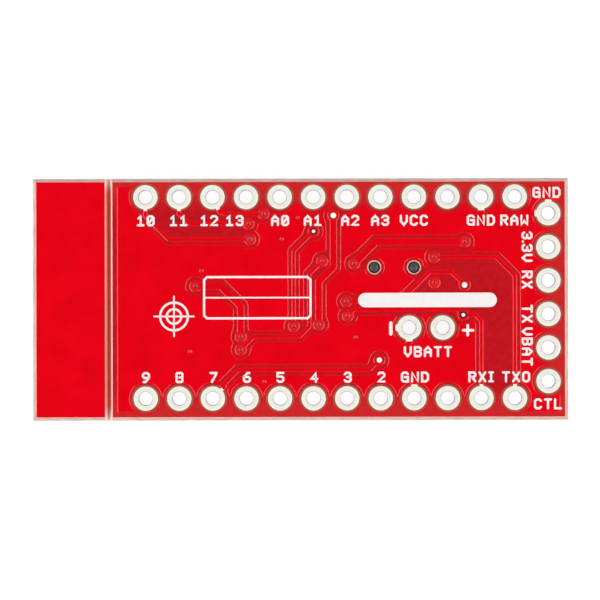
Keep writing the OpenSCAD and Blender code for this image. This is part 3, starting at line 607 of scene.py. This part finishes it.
def film_surface(relief, gap, cell):
    """The film as a height field: bare level plus relief times a smooth step of the depth inside copper.
    Cells around pins, vias and pegs give way to rings of points that meet each opening in a true circle."""
    lo, hi = FILM_BOX[0] / MM, FILM_BOX[1] / MM
    seat = LAMINATE_BOX[1].z / MM
    top = hi.z
    surface = Surface()

    def level(depth):
        """Height of the film by its depth inside copper."""
        return top - relief + relief * smooth(depth, -SLOPE, SLOPE)

    def sheet(x0, x1, nx, ny, all_copper):
        """A rectangle of the film as a grid, with a wall down to the laminate around it."""
        xs, ys = np.linspace(x0, x1, nx + 1), np.linspace(lo.y, hi.y, ny + 1)
        x, y = (a.ravel() for a in np.meshgrid(np.pad(xs, 1, mode="edge"), np.pad(ys, 1, mode="edge")))
        depth = np.full(x.shape, DEPTH_LIMIT) if all_copper else copper_depth(x, y, gap)
        rim = np.pad(np.zeros((ny + 1, nx + 1), bool), 1, constant_values=True).ravel()
        z = np.where(rim, seat, level(depth))
        quads = grid_quads(ny + 3, nx + 3)
        quads = quads[rim[quads].sum(1) < 3]
        if not all_copper:
            covered = from_places(x, y, PINS) < PIN_COVER_R
            covered |= from_places(x, y, np.concatenate([list(VIA.values()), GROUND_VIAS])) < VIA_COVER_R
            covered |= from_places(x, y, PEGS) < PEG_COVER_R
            quads = quads[~covered[quads].all(1) | rim[quads].any(1)]
        surface.put(x, y, z, depth, 0.0, 0.0, ~rim, quads)

    main_left = SCORE_X + SCORE_HALF_W
    sheet(main_left, hi.x, round((hi.x - main_left) / cell), round((hi.y - lo.y) / cell), False)
    sheet(lo.x, SCORE_X - SCORE_HALF_W, *TAB_CELLS, True)

    def over_ring(r):
        """How thin the film is at a distance from a via's middle: a band over the ring of its barrel."""
        return smooth(r, 0.17, 0.23) * (1 - smooth(r, 0.27, 0.35))

    def opening(centre, r, radii, segments, dark=0.0, lift=PATCH_LIFT):
        """Rings of points around a round opening, drawn in where the film's edge is near."""
        steps = np.array([r, r, r + LIP_BACK[0], r + LIP_BACK[1], *radii])
        x, y, away = polar(centre, steps, segments)
        ring = np.repeat(np.arange(len(steps)), segments)
        room = np.full(x.shape, np.inf)
        for way, near, far in ((x - centre[0], main_left - centre[0], hi.x - centre[0]),
                               (y - centre[1], lo.y - centre[1], hi.y - centre[1])):
            way = np.where(np.abs(way) < 1e-9, 1e-9, way) / away
            room = np.minimum(room, np.maximum(near / way, far / way))
        inner = steps[3]
        held = inner + (away - inner) * np.clip((room - inner) / (radii[-1] - inner), 0, 1)
        away = np.where(ring > 3, held, away) / away
        x, y = centre[0] + (x - centre[0]) * away, centre[1] + (y - centre[1]) * away
        away = np.hypot(x - centre[0], y - centre[1])
        depth = copper_depth(x, y, gap)
        z = level(depth) + lift
        z -= np.select([ring == 1, ring == 2], LIP_FALL, 0.0)
        z = np.where(ring == 0, seat, z)
        # Painted shade: by the dark amount, the film is darkened in a band around the opening, for the shade in the
        # hole.
        sunk = dark * (1 - smooth(away, r + 0.1, r + 0.16))
        surface.put(x, y, z, depth, sunk, over_ring(away) * min(dark * 3, 1), ring > 3,
                    grid_quads(len(steps), segments, True))

    for pin in PINS:
        opening(pin, RING_OPENING_R, np.linspace(RING_OPENING_R + 0.06, PIN_PATCH_R, 5), PIN_SEGMENTS)
    for peg in PEGS:
        opening(peg, PEG_OPENING_R, np.linspace(PEG_OPENING_R + 0.05, PEG_PATCH_R, 7), PEG_SEGMENTS)

    def dimple(centre, deep, ringed, lift):
        """Rings of points over a covered via: a cone with a flat floor, and a bell-shaped rim if it is ringed."""
        radii = np.concatenate(
            [np.arange(2, 19, 2) / 100, np.arange(22, 43, 4) / 100, [0.45, 0.48, 0.53, VIA_PATCH_R]])
        x, y, r = polar(centre, radii, DIMPLE_SEGMENTS)
        depth = copper_depth(x, y, gap)
        fall = deep * (1 - np.clip((r - DIMPLE_FLOOR_R) / DIMPLE_SLOPE, 0, 1))
        lip = RIM_RISE * np.exp(-((r - RIM_R) / RIM_W) ** 2) if ringed else 0.0
        z = level(depth) + lift - fall + lip
        x, y, z = np.append(x, centre[0]), np.append(y, centre[1]), np.append(z, z[0])
        depth, r = np.append(depth, depth[0]), np.append(r, 0)
        # Painted shade: the dimple's floor is darkened, more over deeper and ringed vias, for the shade in the
        # via's hollow.
        sunk = (1 - smooth(r, 0.08, 0.17)) * min(deep * (12 if ringed else 5), 1)
        surface.put(x, y, z, depth, sunk, over_ring(r) if ringed else 0.0, r > 0.4,
                    grid_quads(len(radii), DIMPLE_SEGMENTS, True), fan(len(x) - 1, 0, DIMPLE_SEGMENTS))

    # Neighbouring patches overlap, so each stands at a level of its own.
    for place, (name, centre) in enumerate(VIA.items()):
        lift = PATCH_LIFT * (1.5 + 0.5 * (place % 3))
        if name in OPEN_VIAS:
            r = OPEN_VIAS[name]
            radii = np.linspace(r + 0.05, VIA_PATCH_R, 12)
            # Small openings get full painted shade around their holes, larger ones less.
            opening(centre, r, radii, VIA_SEGMENTS, 1.0 if r < 0.18 else 0.3, lift)
        else:
            dimple(centre, DEEP_DIMPLE if name in DEEP_VIAS else DIMPLE_DEPTH, True, lift)
    for centre in GROUND_VIAS:
        dimple(centre, DIMPLE_DEPTH, False, PATCH_LIFT * 2.25)
    return surface


def film_material(settings):
    """Glossy red film, brighter over copper and mottled by the weave over bare laminate, with a bump at the
    edges of copper. Light is painted on the bare film near the cut edges, and shade over the vias."""
    material, tree, shader = blank_material("red_mask_relief")
    inside = attribute(tree, "copper_depth")
    copper = step(tree, inside, -0.14, 0.07)
    bright = tone(tree, settings.over_copper, 450.0, 0.13)
    dull = tone(tree, settings.over_laminate, 2400.0, 0.22)
    # Painted light: the bare film is lightened within 2.4 millimetres of the right and long cut edges, for light
    # that comes in through the edges.
    glow = tone(tree, settings.edge_painted_light, 2400.0, 0.16)
    place = add(tree, "ShaderNodeSeparateXYZ")
    feed(place, Vector=add(tree, "ShaderNodeTexCoord").outputs["Object"])
    inward = calc(tree, "MINIMUM", calc(tree, "SUBTRACT", FILM_BOX[1].x, place.outputs["X"]),
                  calc(tree, "SUBTRACT", FILM_BOX[1].y, calc(tree, "ABSOLUTE", place.outputs["Y"])))
    dull = blend(tree, step(tree, inward, 0.0024, 0.0008), dull, glow)
    colour = blend(tree, copper, dull, bright)
    thin = calc(tree, "MULTIPLY", attribute(tree, "film_thin"), 0.6)
    # Painted shade: the film over and around via holes is darkened towards near black.
    sunk = calc(tree, "MULTIPLY", attribute(tree, "via_painted_shade"), 0.9)
    colour = blend(tree, thin, colour, rgba(settings.over_ring))
    colour = blend(tree, sunk, colour, rgba(settings.via_shade_tint))
    feed(shader, Base_Color=colour)
    edge = add(tree, "ShaderNodeBump")
    feed(edge, Strength=1.0, Distance=settings.relief, Height=step(tree, inside, -0.052, 0.052))
    grain(tree, shader, 1500.0, 0.18, 0.06, 0.0000012, edge.outputs[0])
    return material


def peg_tips(top, tip_r=0.4, rise=0.05, bow=0.76, wall=0.15, segments=40):
    """Rounded tips of the switch's pegs: each falls from its middle with the square of the radius, to a
    short wall."""
    radii = np.append(np.linspace(0.1, 1, 9), 1) * tip_r
    points, faces, count = [], [], 0
    for centre in PEGS:
        x, y, r = polar(centre, radii, segments)
        z = top + rise - bow * r ** 2
        z[-segments:] = top - wall
        points += [np.stack([x, y, z], 1), [[*centre, top + rise]]]
        faces.extend((grid_quads(len(radii), segments, True) + count).tolist())
        faces.extend(fan(count + len(x), count, segments))
        count += len(x) + 1
    return np.concatenate(points), faces


def ring_profile(outer, hole, seat, crown, bottom, foot):
    """Section of a plated hole, round the loop: crowned solder above, barrel, thin ring below, and the
    barrel's back. The crown is the root of 1 - u^8 across the ring."""
    middle, half = (outer + hole) / 2, (outer - hole) / 2
    u = np.cos(np.linspace(0, np.pi, CROWN_POINTS))
    top_r = middle + half * u
    top_z = seat + (crown - seat) * (1 - u ** 8) ** 0.5
    back = hole + PLATING
    low_r = np.array([hole, hole, hole + CHAMFER, outer - CHAMFER / 2, outer, back, back])
    low_z = np.array([seat - BARREL_TOP, foot + CHAMFER, bottom, bottom, foot, foot, seat])
    return np.concatenate([top_r, low_r]), np.concatenate([top_z, low_z])


def ring_surface(row, stubs, outer, hole, segments):
    """Rings of a row, each its section turned about its hole, and the stubs as low arched strips.
    Gives points, faces and each point's distance from its hole's middle."""
    seat, foot = LAMINATE_BOX[1].z / MM, LAMINATE_BOX[0].z / MM
    crown, bottom = RING_BOX[1].z / MM, RING_BOX[0].z / MM
    r, z = ring_profile(outer / 2, hole / 2, seat, crown, bottom, foot)
    points, faces, reach, count = [], [], [], 0
    turn = np.arange(segments) * 2 * np.pi / segments
    for centre in row:
        x = centre[0] + np.outer(r, np.cos(turn))
        y = centre[1] + np.outer(r, np.sin(turn))
        points.append(np.stack([x, y, np.repeat(z[:, None], segments, 1)], -1).reshape(-1, 3))
        quads = grid_quads(len(r), segments, True)
        closing = grid_quads(2, segments, True)
        closing = np.where(closing >= segments, closing - segments, closing + (len(r) - 1) * segments)
        faces.extend((np.concatenate([quads, closing])[:, ::-1] + count).tolist())
        reach.append(np.repeat(r, segments))
        count += len(r) * segments
    for place, way, width in stubs:
        start, end = outer / 2 - STUB_HALF_L, outer / 2 + STUB_HALF_L
        a, c = np.meshgrid(
            np.linspace(start, end, STUB_POINTS[0]), np.linspace(-1, 1, STUB_POINTS[1]), indexing="ij")
        arch = STUB_RISE * np.sqrt(np.clip(1 - c ** 4, 0, 1))
        rise = seat + arch - STUB_FALL * smooth(a, outer / 2, end)
        w = math.radians(way)
        x = row[place][0] + a * math.cos(w) - c * width / 2 * math.sin(w)
        y = row[place][1] + a * math.sin(w) + c * width / 2 * math.cos(w)
        points.append(np.stack([x, y, rise], -1).reshape(-1, 3))
        faces.extend((grid_quads(*STUB_POINTS) + count).tolist())
        reach.append(np.full(a.size, outer / 2))
        count += a.size
    return np.concatenate(points), faces, np.concatenate(reach)


def ring_material(settings):
    """Levelled solder: grey-green on the ring, cream at its outer rim and darker at the edge of the hole."""
    material, tree, shader = blank_material("levelled_solder")
    reach = attribute(tree, "from_middle")
    hole, outer = settings.hole / 2 / MM, settings.outer / 2 / MM
    face = tone(tree, settings.colour, 1300.0, 0.07)
    colour = blend(tree, step(tree, reach, outer - 0.2, outer - 0.1), face, rgba(settings.rim))
    colour = blend(tree, step(tree, reach, hole + 0.07, hole + 0.02), colour, rgba(settings.lip))
    feed(shader, Base_Color=colour, Metallic=0.1)
    grain(tree, shader, 2600.0, 0.45, 0.2, 0.000003)
    return material


def stroke_surface(path, width, base, rise):
    """A printed stroke: a low arched section carried along a path, its half-width falling to nothing
    along a half circle at each end."""
    path = np.asarray(path, float)
    legs = np.diff(path, axis=0)
    legs = legs / np.linalg.norm(legs, axis=1)[:, None]
    closed = len(path) > 3 and np.allclose(path[0], path[-1])
    before = np.vstack([legs[-1] if closed else legs[0], legs])
    after = np.vstack([legs, legs[0] if closed else legs[-1]])
    lean = 1 + (before * after).sum(1)
    side = np.stack([-(before + after)[:, 1], (before + after)[:, 0]], 1) / np.maximum(lean, 0.45)[:, None]
    half = np.full(len(path), width / 2)
    if not closed:
        t = np.linspace(np.pi / 2, 0, 6)[:-1]
        cap = np.sin(t)[:, None] * width / 2
        path = np.vstack([path[0] - cap * legs[0], path, (path[-1] + cap * legs[-1])[::-1]])
        side = np.vstack([np.repeat(side[:1], 5, 0), side, np.repeat(side[-1:], 5, 0)])
        half = np.concatenate([np.cos(t) * width / 2, half, (np.cos(t) * width / 2)[::-1]])
    section = np.array([[-1.0, 0.0], [-0.86, 0.75], [-0.5, 1.0], [0.5, 1.0], [0.86, 0.75], [1.0, 0.0]])
    xy = path[:, None, :] + side[:, None, :] * (half[:, None] * section[None, :, 0])[:, :, None]
    z = np.broadcast_to(base + rise * section[:, 1], xy.shape[:2])
    points = np.concatenate([xy, z[:, :, None]], -1).reshape(-1, 3)
    return points, grid_quads(len(path), len(section))[:, ::-1]


def word_strokes(word, middle, turn, letters):
    """Paths of a word's strokes, set around its middle and turned."""
    width, height, advance = letters.width / MM, letters.height / MM, letters.advance / MM
    starts, at = [], 0.0
    for sign, following in zip(word, word[1:] + " "):
        starts.append(at)
        pair = (sign, following)
        at += advance * (0.62 if "." in pair else 0.87 if "I" in pair else 1.0)
    span = starts[-1] + width
    way = math.radians(turn)
    spin = np.array([[math.cos(way), math.sin(way)], [-math.sin(way), math.cos(way)]])
    paths = []
    for sign, start in zip(word, starts):
        for stroke in SIGNS[sign]:
            path = np.array(stroke, float) * [width / 4, height / 6] + [start - span / 2, -height / 2]
            paths.append(path @ spin + np.array(middle))
    return paths


def circle_path(centre, r, count=48):
    """A closed circle as a path."""
    turn = np.arange(count + 1) * 2 * np.pi / count
    return np.stack([centre[0] + r * np.cos(turn), centre[1] + r * np.sin(turn)], 1)


def line(x0, y0, x1, y1):
    """A straight path."""
    return np.array([(x0, y0), (x1, y1)])


def box_path(x0, y0, x1, y1):
    """A closed rectangle with cut corners as a path."""
    c = FRAME_CORNER
    return np.array([(x0 + c, y0), (x1 - c, y0), (x1, y0 + c), (x1, y1 - c), (x1 - c, y1),
                     (x0 + c, y1), (x0, y1 - c), (x0, y0 + c), (x0 + c, y0)])


# ---- operators ----


class RECEIVER_OT_mask(bpy.types.Operator):
    """Red film of the solder side, with the relief of its traces"""
    bl_idname = "receiver_board.mask"
    bl_label = "Solder mask"

    def execute(self, context):
        settings = context.scene.receiver_mask
        built = film_surface(settings.relief / MM, settings.gap / MM, settings.cell / MM)
        piece = make_piece(
            "mask_relief", np.concatenate(built.points), built.faces, film_material(settings),
            values={key: np.concatenate(value) for key, value in built.values.items()},
            normals=np.concatenate(built.normals))
        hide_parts("solder_mask_back")
        front = plain_finish("red_mask_front", settings.over_copper, 0.22, drift=0.08, drift_scale=500.0,
                             grain_scale=1800.0, depth=0.0000015, spread=0.06)
        dress("solder_mask_front", front)
        return {"FINISHED"}


class RECEIVER_OT_rings(bpy.types.Operator):
    """Solder-coated rings and barrels of the pin holes, and the lands of the component side"""
    bl_idname = "receiver_board.rings"
    bl_label = "Solder rings"

    def execute(self, context):
        settings = context.scene.receiver_rings
        solder = ring_material(settings)
        for node, (row, stubs) in STUBS.items():
            points, faces, reach = ring_surface(
                row, stubs, settings.outer / MM, settings.hole / MM, settings.segments)
            piece = make_piece(
                node + "_crowned", points, faces, solder, values={"from_middle": reach})
            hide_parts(node)
        dress("front_lands", plain_finish("levelled_land", settings.colour, 0.42, metallic=0.3, drift=0.07,
                                          drift_scale=1300.0, grain_scale=2600.0, depth=0.000003))
        dress("vias", plain_finish("via_plating", (0.62, 0.42, 0.28), 0.35, metallic=0.7))
        return {"FINISHED"}


class RECEIVER_OT_letters(bpy.types.Operator):
    """White printing of the solder side: pin numbers and names, a note field, a label frame and a target"""
    bl_idname = "receiver_board.letters"
    bl_label = "Lettering"

    def execute(self, context):
        letters = context.scene.receiver_letters
        base = FILM_BOX[1].z / MM - INK_FOOT
        stroke = letters.stroke / MM
        paths = []
        for turn, shared_place, words, places in WORD_LINES:
            for word, place in zip(words.split(), places):
                middle = (shared_place, place) if turn else (place, shared_place)
                paths += [(path, stroke) for path in word_strokes(word, middle, turn, letters)]
        paths += [(line(*ends), width) for ends, width in POLES]
        paths += [(box_path(*FRAME), stroke), (line(*DIVIDER[0]), DIVIDER[1])]
        paths += [(circle_path(TARGET, r), stroke) for r in TARGET_RADII]
        tx, ty = TARGET
        paths += [(line(tx - TARGET_ARM, ty, tx + TARGET_ARM, ty), TARGET_W),
                  (line(tx, ty - TARGET_ARM, tx, ty + TARGET_ARM), TARGET_W),
                  (line(*NOTE_BAR[0]), NOTE_BAR[1])]
        points, faces, count = [], [], 0
        for number, (path, width) in enumerate(paths):
            # Each stroke is a hair higher than the last, so that no two faces coincide where they cross.
            p, f = stroke_surface(path, width, base, INK_RISE + 0.00001 * (number % 97))
            points.append(p)
            faces.extend((f + count).tolist())
            count += len(p)
        ink = plain_finish("white_ink", letters.ink, 0.55, drift=0.05, drift_scale=2500.0,
                           grain_scale=7000.0, depth=0.0000015)
        make_piece("lettering", np.concatenate(points), faces, ink)
        return {"FINISHED"}


class RECEIVER_OT_laminate(bpy.types.Operator):
    """Cut glass-epoxy of the board's edges and of the score line"""
    bl_idname = "receiver_board.laminate"
    bl_label = "Laminate"

    def execute(self, context):
        settings = context.scene.receiver_board
        material, tree, shader = blank_material("cut_laminate")
        place = add(tree, "ShaderNodeTexCoord").outputs["Object"]
        parts = add(tree, "ShaderNodeSeparateXYZ")
        feed(parts, Vector=place)
        stretched = add(tree, "ShaderNodeMapping")
        feed(stretched, Vector=place, Scale=(900.0, 900.0, 6000.0))
        layers = add(tree, "ShaderNodeTexNoise")
        feed(layers, Vector=stretched.outputs[0], Scale=1.0, Detail=4.0, Roughness=0.6)
        fibre = step(tree, layers.outputs[0], 0.42, 0.62)
        cut = blend(tree, fibre, tone(tree, settings.laminate, 1500.0, 0.12), rgba(settings.fibre))

        past_score = calc(tree, "SUBTRACT", parts.outputs["X"], SCORE_X * MM)
        slope = step(tree, calc(tree, "ABSOLUTE", past_score),
                     (SCORE_HALF_W + 0.02) * MM, (SCORE_HALF_W - 0.01) * MM)
        floor = band(tree, past_score, (-0.18, -0.08), (0.2, 0.16))
        shade = band(tree, past_score, (0.06, 0.11), (0.19, 0.14))
        stain = tone(tree, settings.stain, 2200.0, 0.12)
        # Painted highlight: the right slope of the score line takes a paler tint than the stained left slope.
        groove = blend(tree, step(tree, past_score, 0.00014, 0.0002), stain, rgba(settings.score_pale_and_highlight))
        groove = blend(tree, floor, groove, rgba(settings.score_floor))
        groove = blend(tree, shade, groove, rgba(settings.score_shade))
        # Towards the film's ends the groove turns to the pale tint of cut laminate.
        along = calc(tree, "ABSOLUTE", parts.outputs["Y"])
        ends = step(tree, along, FILM_BOX[1].y - 0.0009, FILM_BOX[1].y)
        groove = blend(tree, ends, groove, rgba(settings.score_pale_and_highlight))

        bottom, top = LAMINATE_BOX[0].z, LAMINATE_BOX[1].z
        middle, half = (bottom + top) / 2, (top - bottom) / 2
        level = calc(tree, "ABSOLUTE", calc(tree, "SUBTRACT", parts.outputs["Z"], middle))
        from_switch = add(tree, "ShaderNodeVectorMath", operation="DISTANCE")
        feed(from_switch, Vector=place)
        from_switch.inputs[1].default_value = (PEGS[:, 0].mean() * MM, PEGS[0, 1] * MM, top)
        off_switch = step(tree, from_switch.outputs["Value"], 0.0024, 0.0026)
        near_film = step(tree, level, half - 0.00022, half - 0.00003, 0.0, 0.75)
        stained = blend(tree, calc(tree, "MULTIPLY", near_film, off_switch), cut, stain)
        stained = blend(tree, slope, stained, groove)
        # Painted shade: the laminate's top face is darkened in the narrow gaps between rings and the film, but not
        # by the switch's pegs.
        face = calc(tree, "MULTIPLY", step(tree, parts.outputs["Z"], top - 4e-6, top - 1e-6), off_switch)
        feed(shader, Base_Color=blend(tree, face, stained, rgba(settings.ring_gap_shade)))
        weave = add(tree, "ShaderNodeBump")
        feed(weave, Strength=1.0, Distance=0.00001, Height=layers.outputs[0])
        grain(tree, shader, 7000.0, 0.62, 0.2, 0.000004, weave.outputs[0])
        dress("laminate", material)
        return {"FINISHED"}


class RECEIVER_OT_switch(bpy.types.Operator):
    """Finishes of the slide switch"""
    bl_idname = "receiver_board.switch"
    bl_label = "Slide switch"

    def execute(self, context):
        settings = context.scene.receiver_parts
        dress("switch_base", plain_finish("moulded_base", settings.base, 0.42, drift=0.15))
        points, faces = peg_tips(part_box("switch_base")[1].z / MM)
        make_piece("switch_peg_tips", points, faces,
                   plain_finish("rounded_tip", settings.base, 0.2, drift=0.15))
        dress("switch_knob", plain_finish("moulded_knob", settings.knob, 0.38, drift=0.15))
        dress("switch_cover", plain_finish("stamped_steel", (0.60, 0.60, 0.61), 0.3, metallic=1.0,
                                           grain_scale=2500.0, depth=0.000002))
        dress("switch_springs", plain_finish("rolled_bronze", (0.62, 0.40, 0.18), 0.3, metallic=1.0))
        dress("switch_terminals", tin_finish(settings))
        return {"FINISHED"}


class RECEIVER_OT_socket(bpy.types.Operator):
    """Finishes of the cable socket"""
    bl_idname = "receiver_board.socket"
    bl_label = "Cable socket"

    def execute(self, context):
        settings = context.scene.receiver_parts
        dress("socket_housing", plain_finish("moulded_nylon", settings.socket, 0.48, drift=0.06, drift_scale=300.0))
        dress("socket_contacts", plain_finish("plated_contact", settings.gold, 0.25, metallic=1.0))
        dress("socket_hold_downs", tin_finish(settings))
        return {"FINISHED"}


class RECEIVER_OT_chips(bpy.types.Operator):
    """Finishes of the regulator, transistors, resistors and capacitors"""
    bl_idname = "receiver_board.chips"
    bl_label = "Chip parts"

    def execute(self, context):
        settings = context.scene.receiver_parts
        epoxy = plain_finish("moulded_epoxy", (0.028, 0.028, 0.032), 0.5, drift=0.2,
                             grain_scale=9000.0, depth=0.000005)
        for node in ("regulator_case", "transistor_cases"):
            dress(node, epoxy)
        for node in ("regulator_pins", "transistor_pins", "resistor_ends", "capacitor_ends"):
            dress(node, tin_finish(settings))
        dress("resistor_bodies", plain_finish("glazed_resistor", (0.03, 0.03, 0.035), 0.3, drift=0.15))
        dress("capacitor_bodies", plain_finish("fired_ceramic", (0.46, 0.31, 0.18), 0.45, drift=0.12))
        return {"FINISHED"}


class RECEIVER_OT_stage(bpy.types.Operator):
    """White sweep, lights and camera"""
    bl_idname = "receiver_board.stage"
    bl_label = "Stage"

    def execute(self, context):
        settings = context.scene.receiver_stage
        scene = context.scene
        scene.view_settings.view_transform = "Standard"
        world = bpy.data.worlds.new("soft_room")
        scene.world = world
        tree = emptied(world)
        way = feed(add(tree, "ShaderNodeSeparateXYZ"), Vector=add(tree, "ShaderNodeTexCoord").outputs["Generated"])
        soft = step(tree, way.outputs["Z"], 0.5, 0.8, settings.ambient, settings.ceiling)
        even = feed(add(tree, "ShaderNodeBackground"), Color=(1, 1, 1, 1), Strength=soft)
        tree.links.new(even.outputs[0], add(tree, "ShaderNodeOutputWorld").inputs["Surface"])

        bend = np.linspace(0, np.pi / 2, 10)
        r = np.concatenate([FLAT_RADII, BEND_START + BEND_R * np.sin(bend)])
        z = np.concatenate([np.zeros(len(FLAT_RADII)), BEND_R - BEND_R * np.cos(bend)])
        x, y, _ = polar((0, 0), r, SWEEP_SEGMENTS)
        points = np.stack([x, y, np.repeat(z, SWEEP_SEGMENTS)], 1)
        centre = list(range(SWEEP_SEGMENTS))[::-1]
        mesh = bpy.data.meshes.new("sweep")
        mesh.from_pydata(points.tolist(), [], grid_quads(len(r), SWEEP_SEGMENTS, True).tolist() + [centre])
        mesh.shade_smooth()
        sweep = bpy.data.objects.new("sweep", mesh)
        scene.collection.objects.link(sweep)
        mesh.materials.append(self.sweep_material())

        for name, side, power in (("key", -1, settings.key), ("fill", 1, settings.fill)):
            self.lamp(name, (side * LAMP_X, LAMP_Y, LAMP_Z), LAMP_SIZE, power)

        camera = bpy.data.cameras.new("camera")
        camera.sensor_width = SENSOR_W
        camera.lens = SENSOR_W * (settings.distance - FILM_BOX[1].z) / settings.view_width
        camera.clip_start, camera.clip_end = 0.01, 10.0
        eye = bpy.data.objects.new("camera", camera)
        eye.location = (*EYE_SHIFT, settings.distance)
        eye.rotation_euler = (0, 0, settings.roll)
        scene.collection.objects.link(eye)
        scene.camera = eye
        return {"FINISHED"}

    def sweep_material(self):
        """White to the camera and in reflections, with a faint shadow, and a plain pale floor for other light."""
        material = bpy.data.materials.new("white_sweep")
        tree = emptied(material)
        path = add(tree, "ShaderNodeLightPath").outputs
        seen = calc(tree, "MAXIMUM", path["Is Camera Ray"],
                    calc(tree, "MAXIMUM", path["Is Glossy Ray"], path["Is Transmission Ray"]))
        glow = feed(add(tree, "ShaderNodeEmission"), Color=(1, 1, 1, 1), Strength=0.92)
        faint = feed(add(tree, "ShaderNodeBsdfDiffuse"), Color=(0.14, 0.14, 0.14, 1))
        both = add(tree, "ShaderNodeAddShader")
        tree.links.new(glow.outputs[0], both.inputs[0])
        tree.links.new(faint.outputs[0], both.inputs[1])
        pale = feed(add(tree, "ShaderNodeBsdfDiffuse"), Color=(0.8, 0.8, 0.8, 1))
        choose = add(tree, "ShaderNodeMixShader")
        tree.links.new(seen, choose.inputs[0])
        tree.links.new(pale.outputs[0], choose.inputs[1])
        tree.links.new(both.outputs[0], choose.inputs[2])
        tree.links.new(choose.outputs[0], add(tree, "ShaderNodeOutputMaterial").inputs["Surface"])
        return material

    def lamp(self, name, place, size, power):
        """A soft light, wide and high as its size says, that faces the board."""
        light = bpy.data.lights.new(name, "AREA")
        light.shape, light.energy = "RECTANGLE", power
        light.size, light.size_y = size
        lamp = bpy.data.objects.new(name, light)
        bpy.context.scene.collection.objects.link(lamp)
        lamp.location = place
        lamp.rotation_euler = (-lamp.location).to_track_quat("-Z", "Y").to_euler()


def tin_finish(settings):
    """Tin plate of the leads, made once."""
    return bpy.data.materials.get("tin_plate") or plain_finish(
        "tin_plate", settings.tin, 0.32, metallic=1.0, drift=0.06, grain_scale=3500.0, depth=0.000002)


def dress(node, material):
    """Gives a node of the frame its finish."""
    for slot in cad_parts[node].material_slots:
        slot.material = material


class RECEIVER_PT_panel(bpy.types.Panel):
    """Lists the board's pieces"""
    bl_idname = "RECEIVER_PT_panel"
    bl_label = "Receiver board"
    bl_space_type = "VIEW_3D"
    bl_region_type = "UI"
    bl_category = "Receiver board"

    def draw(self, context):
        for kind in OPERATORS:
            self.layout.operator(kind.bl_idname)
        for name, kind in SETTINGS.items():
            box = self.layout.box()
            for key in kind.__annotations__:
                box.prop(getattr(context.scene, name), key)


SETTINGS = {
    "receiver_mask": RECEIVER_MaskSettings,
    "receiver_rings": RECEIVER_RingSettings,
    "receiver_letters": RECEIVER_LetterSettings,
    "receiver_board": RECEIVER_BoardSettings,
    "receiver_parts": RECEIVER_PartSettings,
    "receiver_stage": RECEIVER_StageSettings,
}
OPERATORS = (
    RECEIVER_OT_stage, RECEIVER_OT_mask, RECEIVER_OT_rings, RECEIVER_OT_letters,
    RECEIVER_OT_laminate, RECEIVER_OT_switch, RECEIVER_OT_socket, RECEIVER_OT_chips,
)


def register():
    for kind in (*SETTINGS.values(), *OPERATORS, RECEIVER_PT_panel):
        bpy.utils.register_class(kind)
    for name, kind in SETTINGS.items():
        setattr(bpy.types.Scene, name, PointerProperty(type=kind))


def unregister():
    for name in SETTINGS:
        delattr(bpy.types.Scene, name)
    for kind in reversed((*SETTINGS.values(), *OPERATORS, RECEIVER_PT_panel)):
        bpy.utils.unregister_class(kind)


def main():
    register()
    bpy.ops.receiver_board.stage()
    bpy.ops.receiver_board.mask()
    bpy.ops.receiver_board.rings()
    bpy.ops.receiver_board.letters()
    bpy.ops.receiver_board.laminate()
    bpy.ops.receiver_board.switch()
    bpy.ops.receiver_board.socket()
    bpy.ops.receiver_board.chips()


if __name__ == "__main__":
    main()
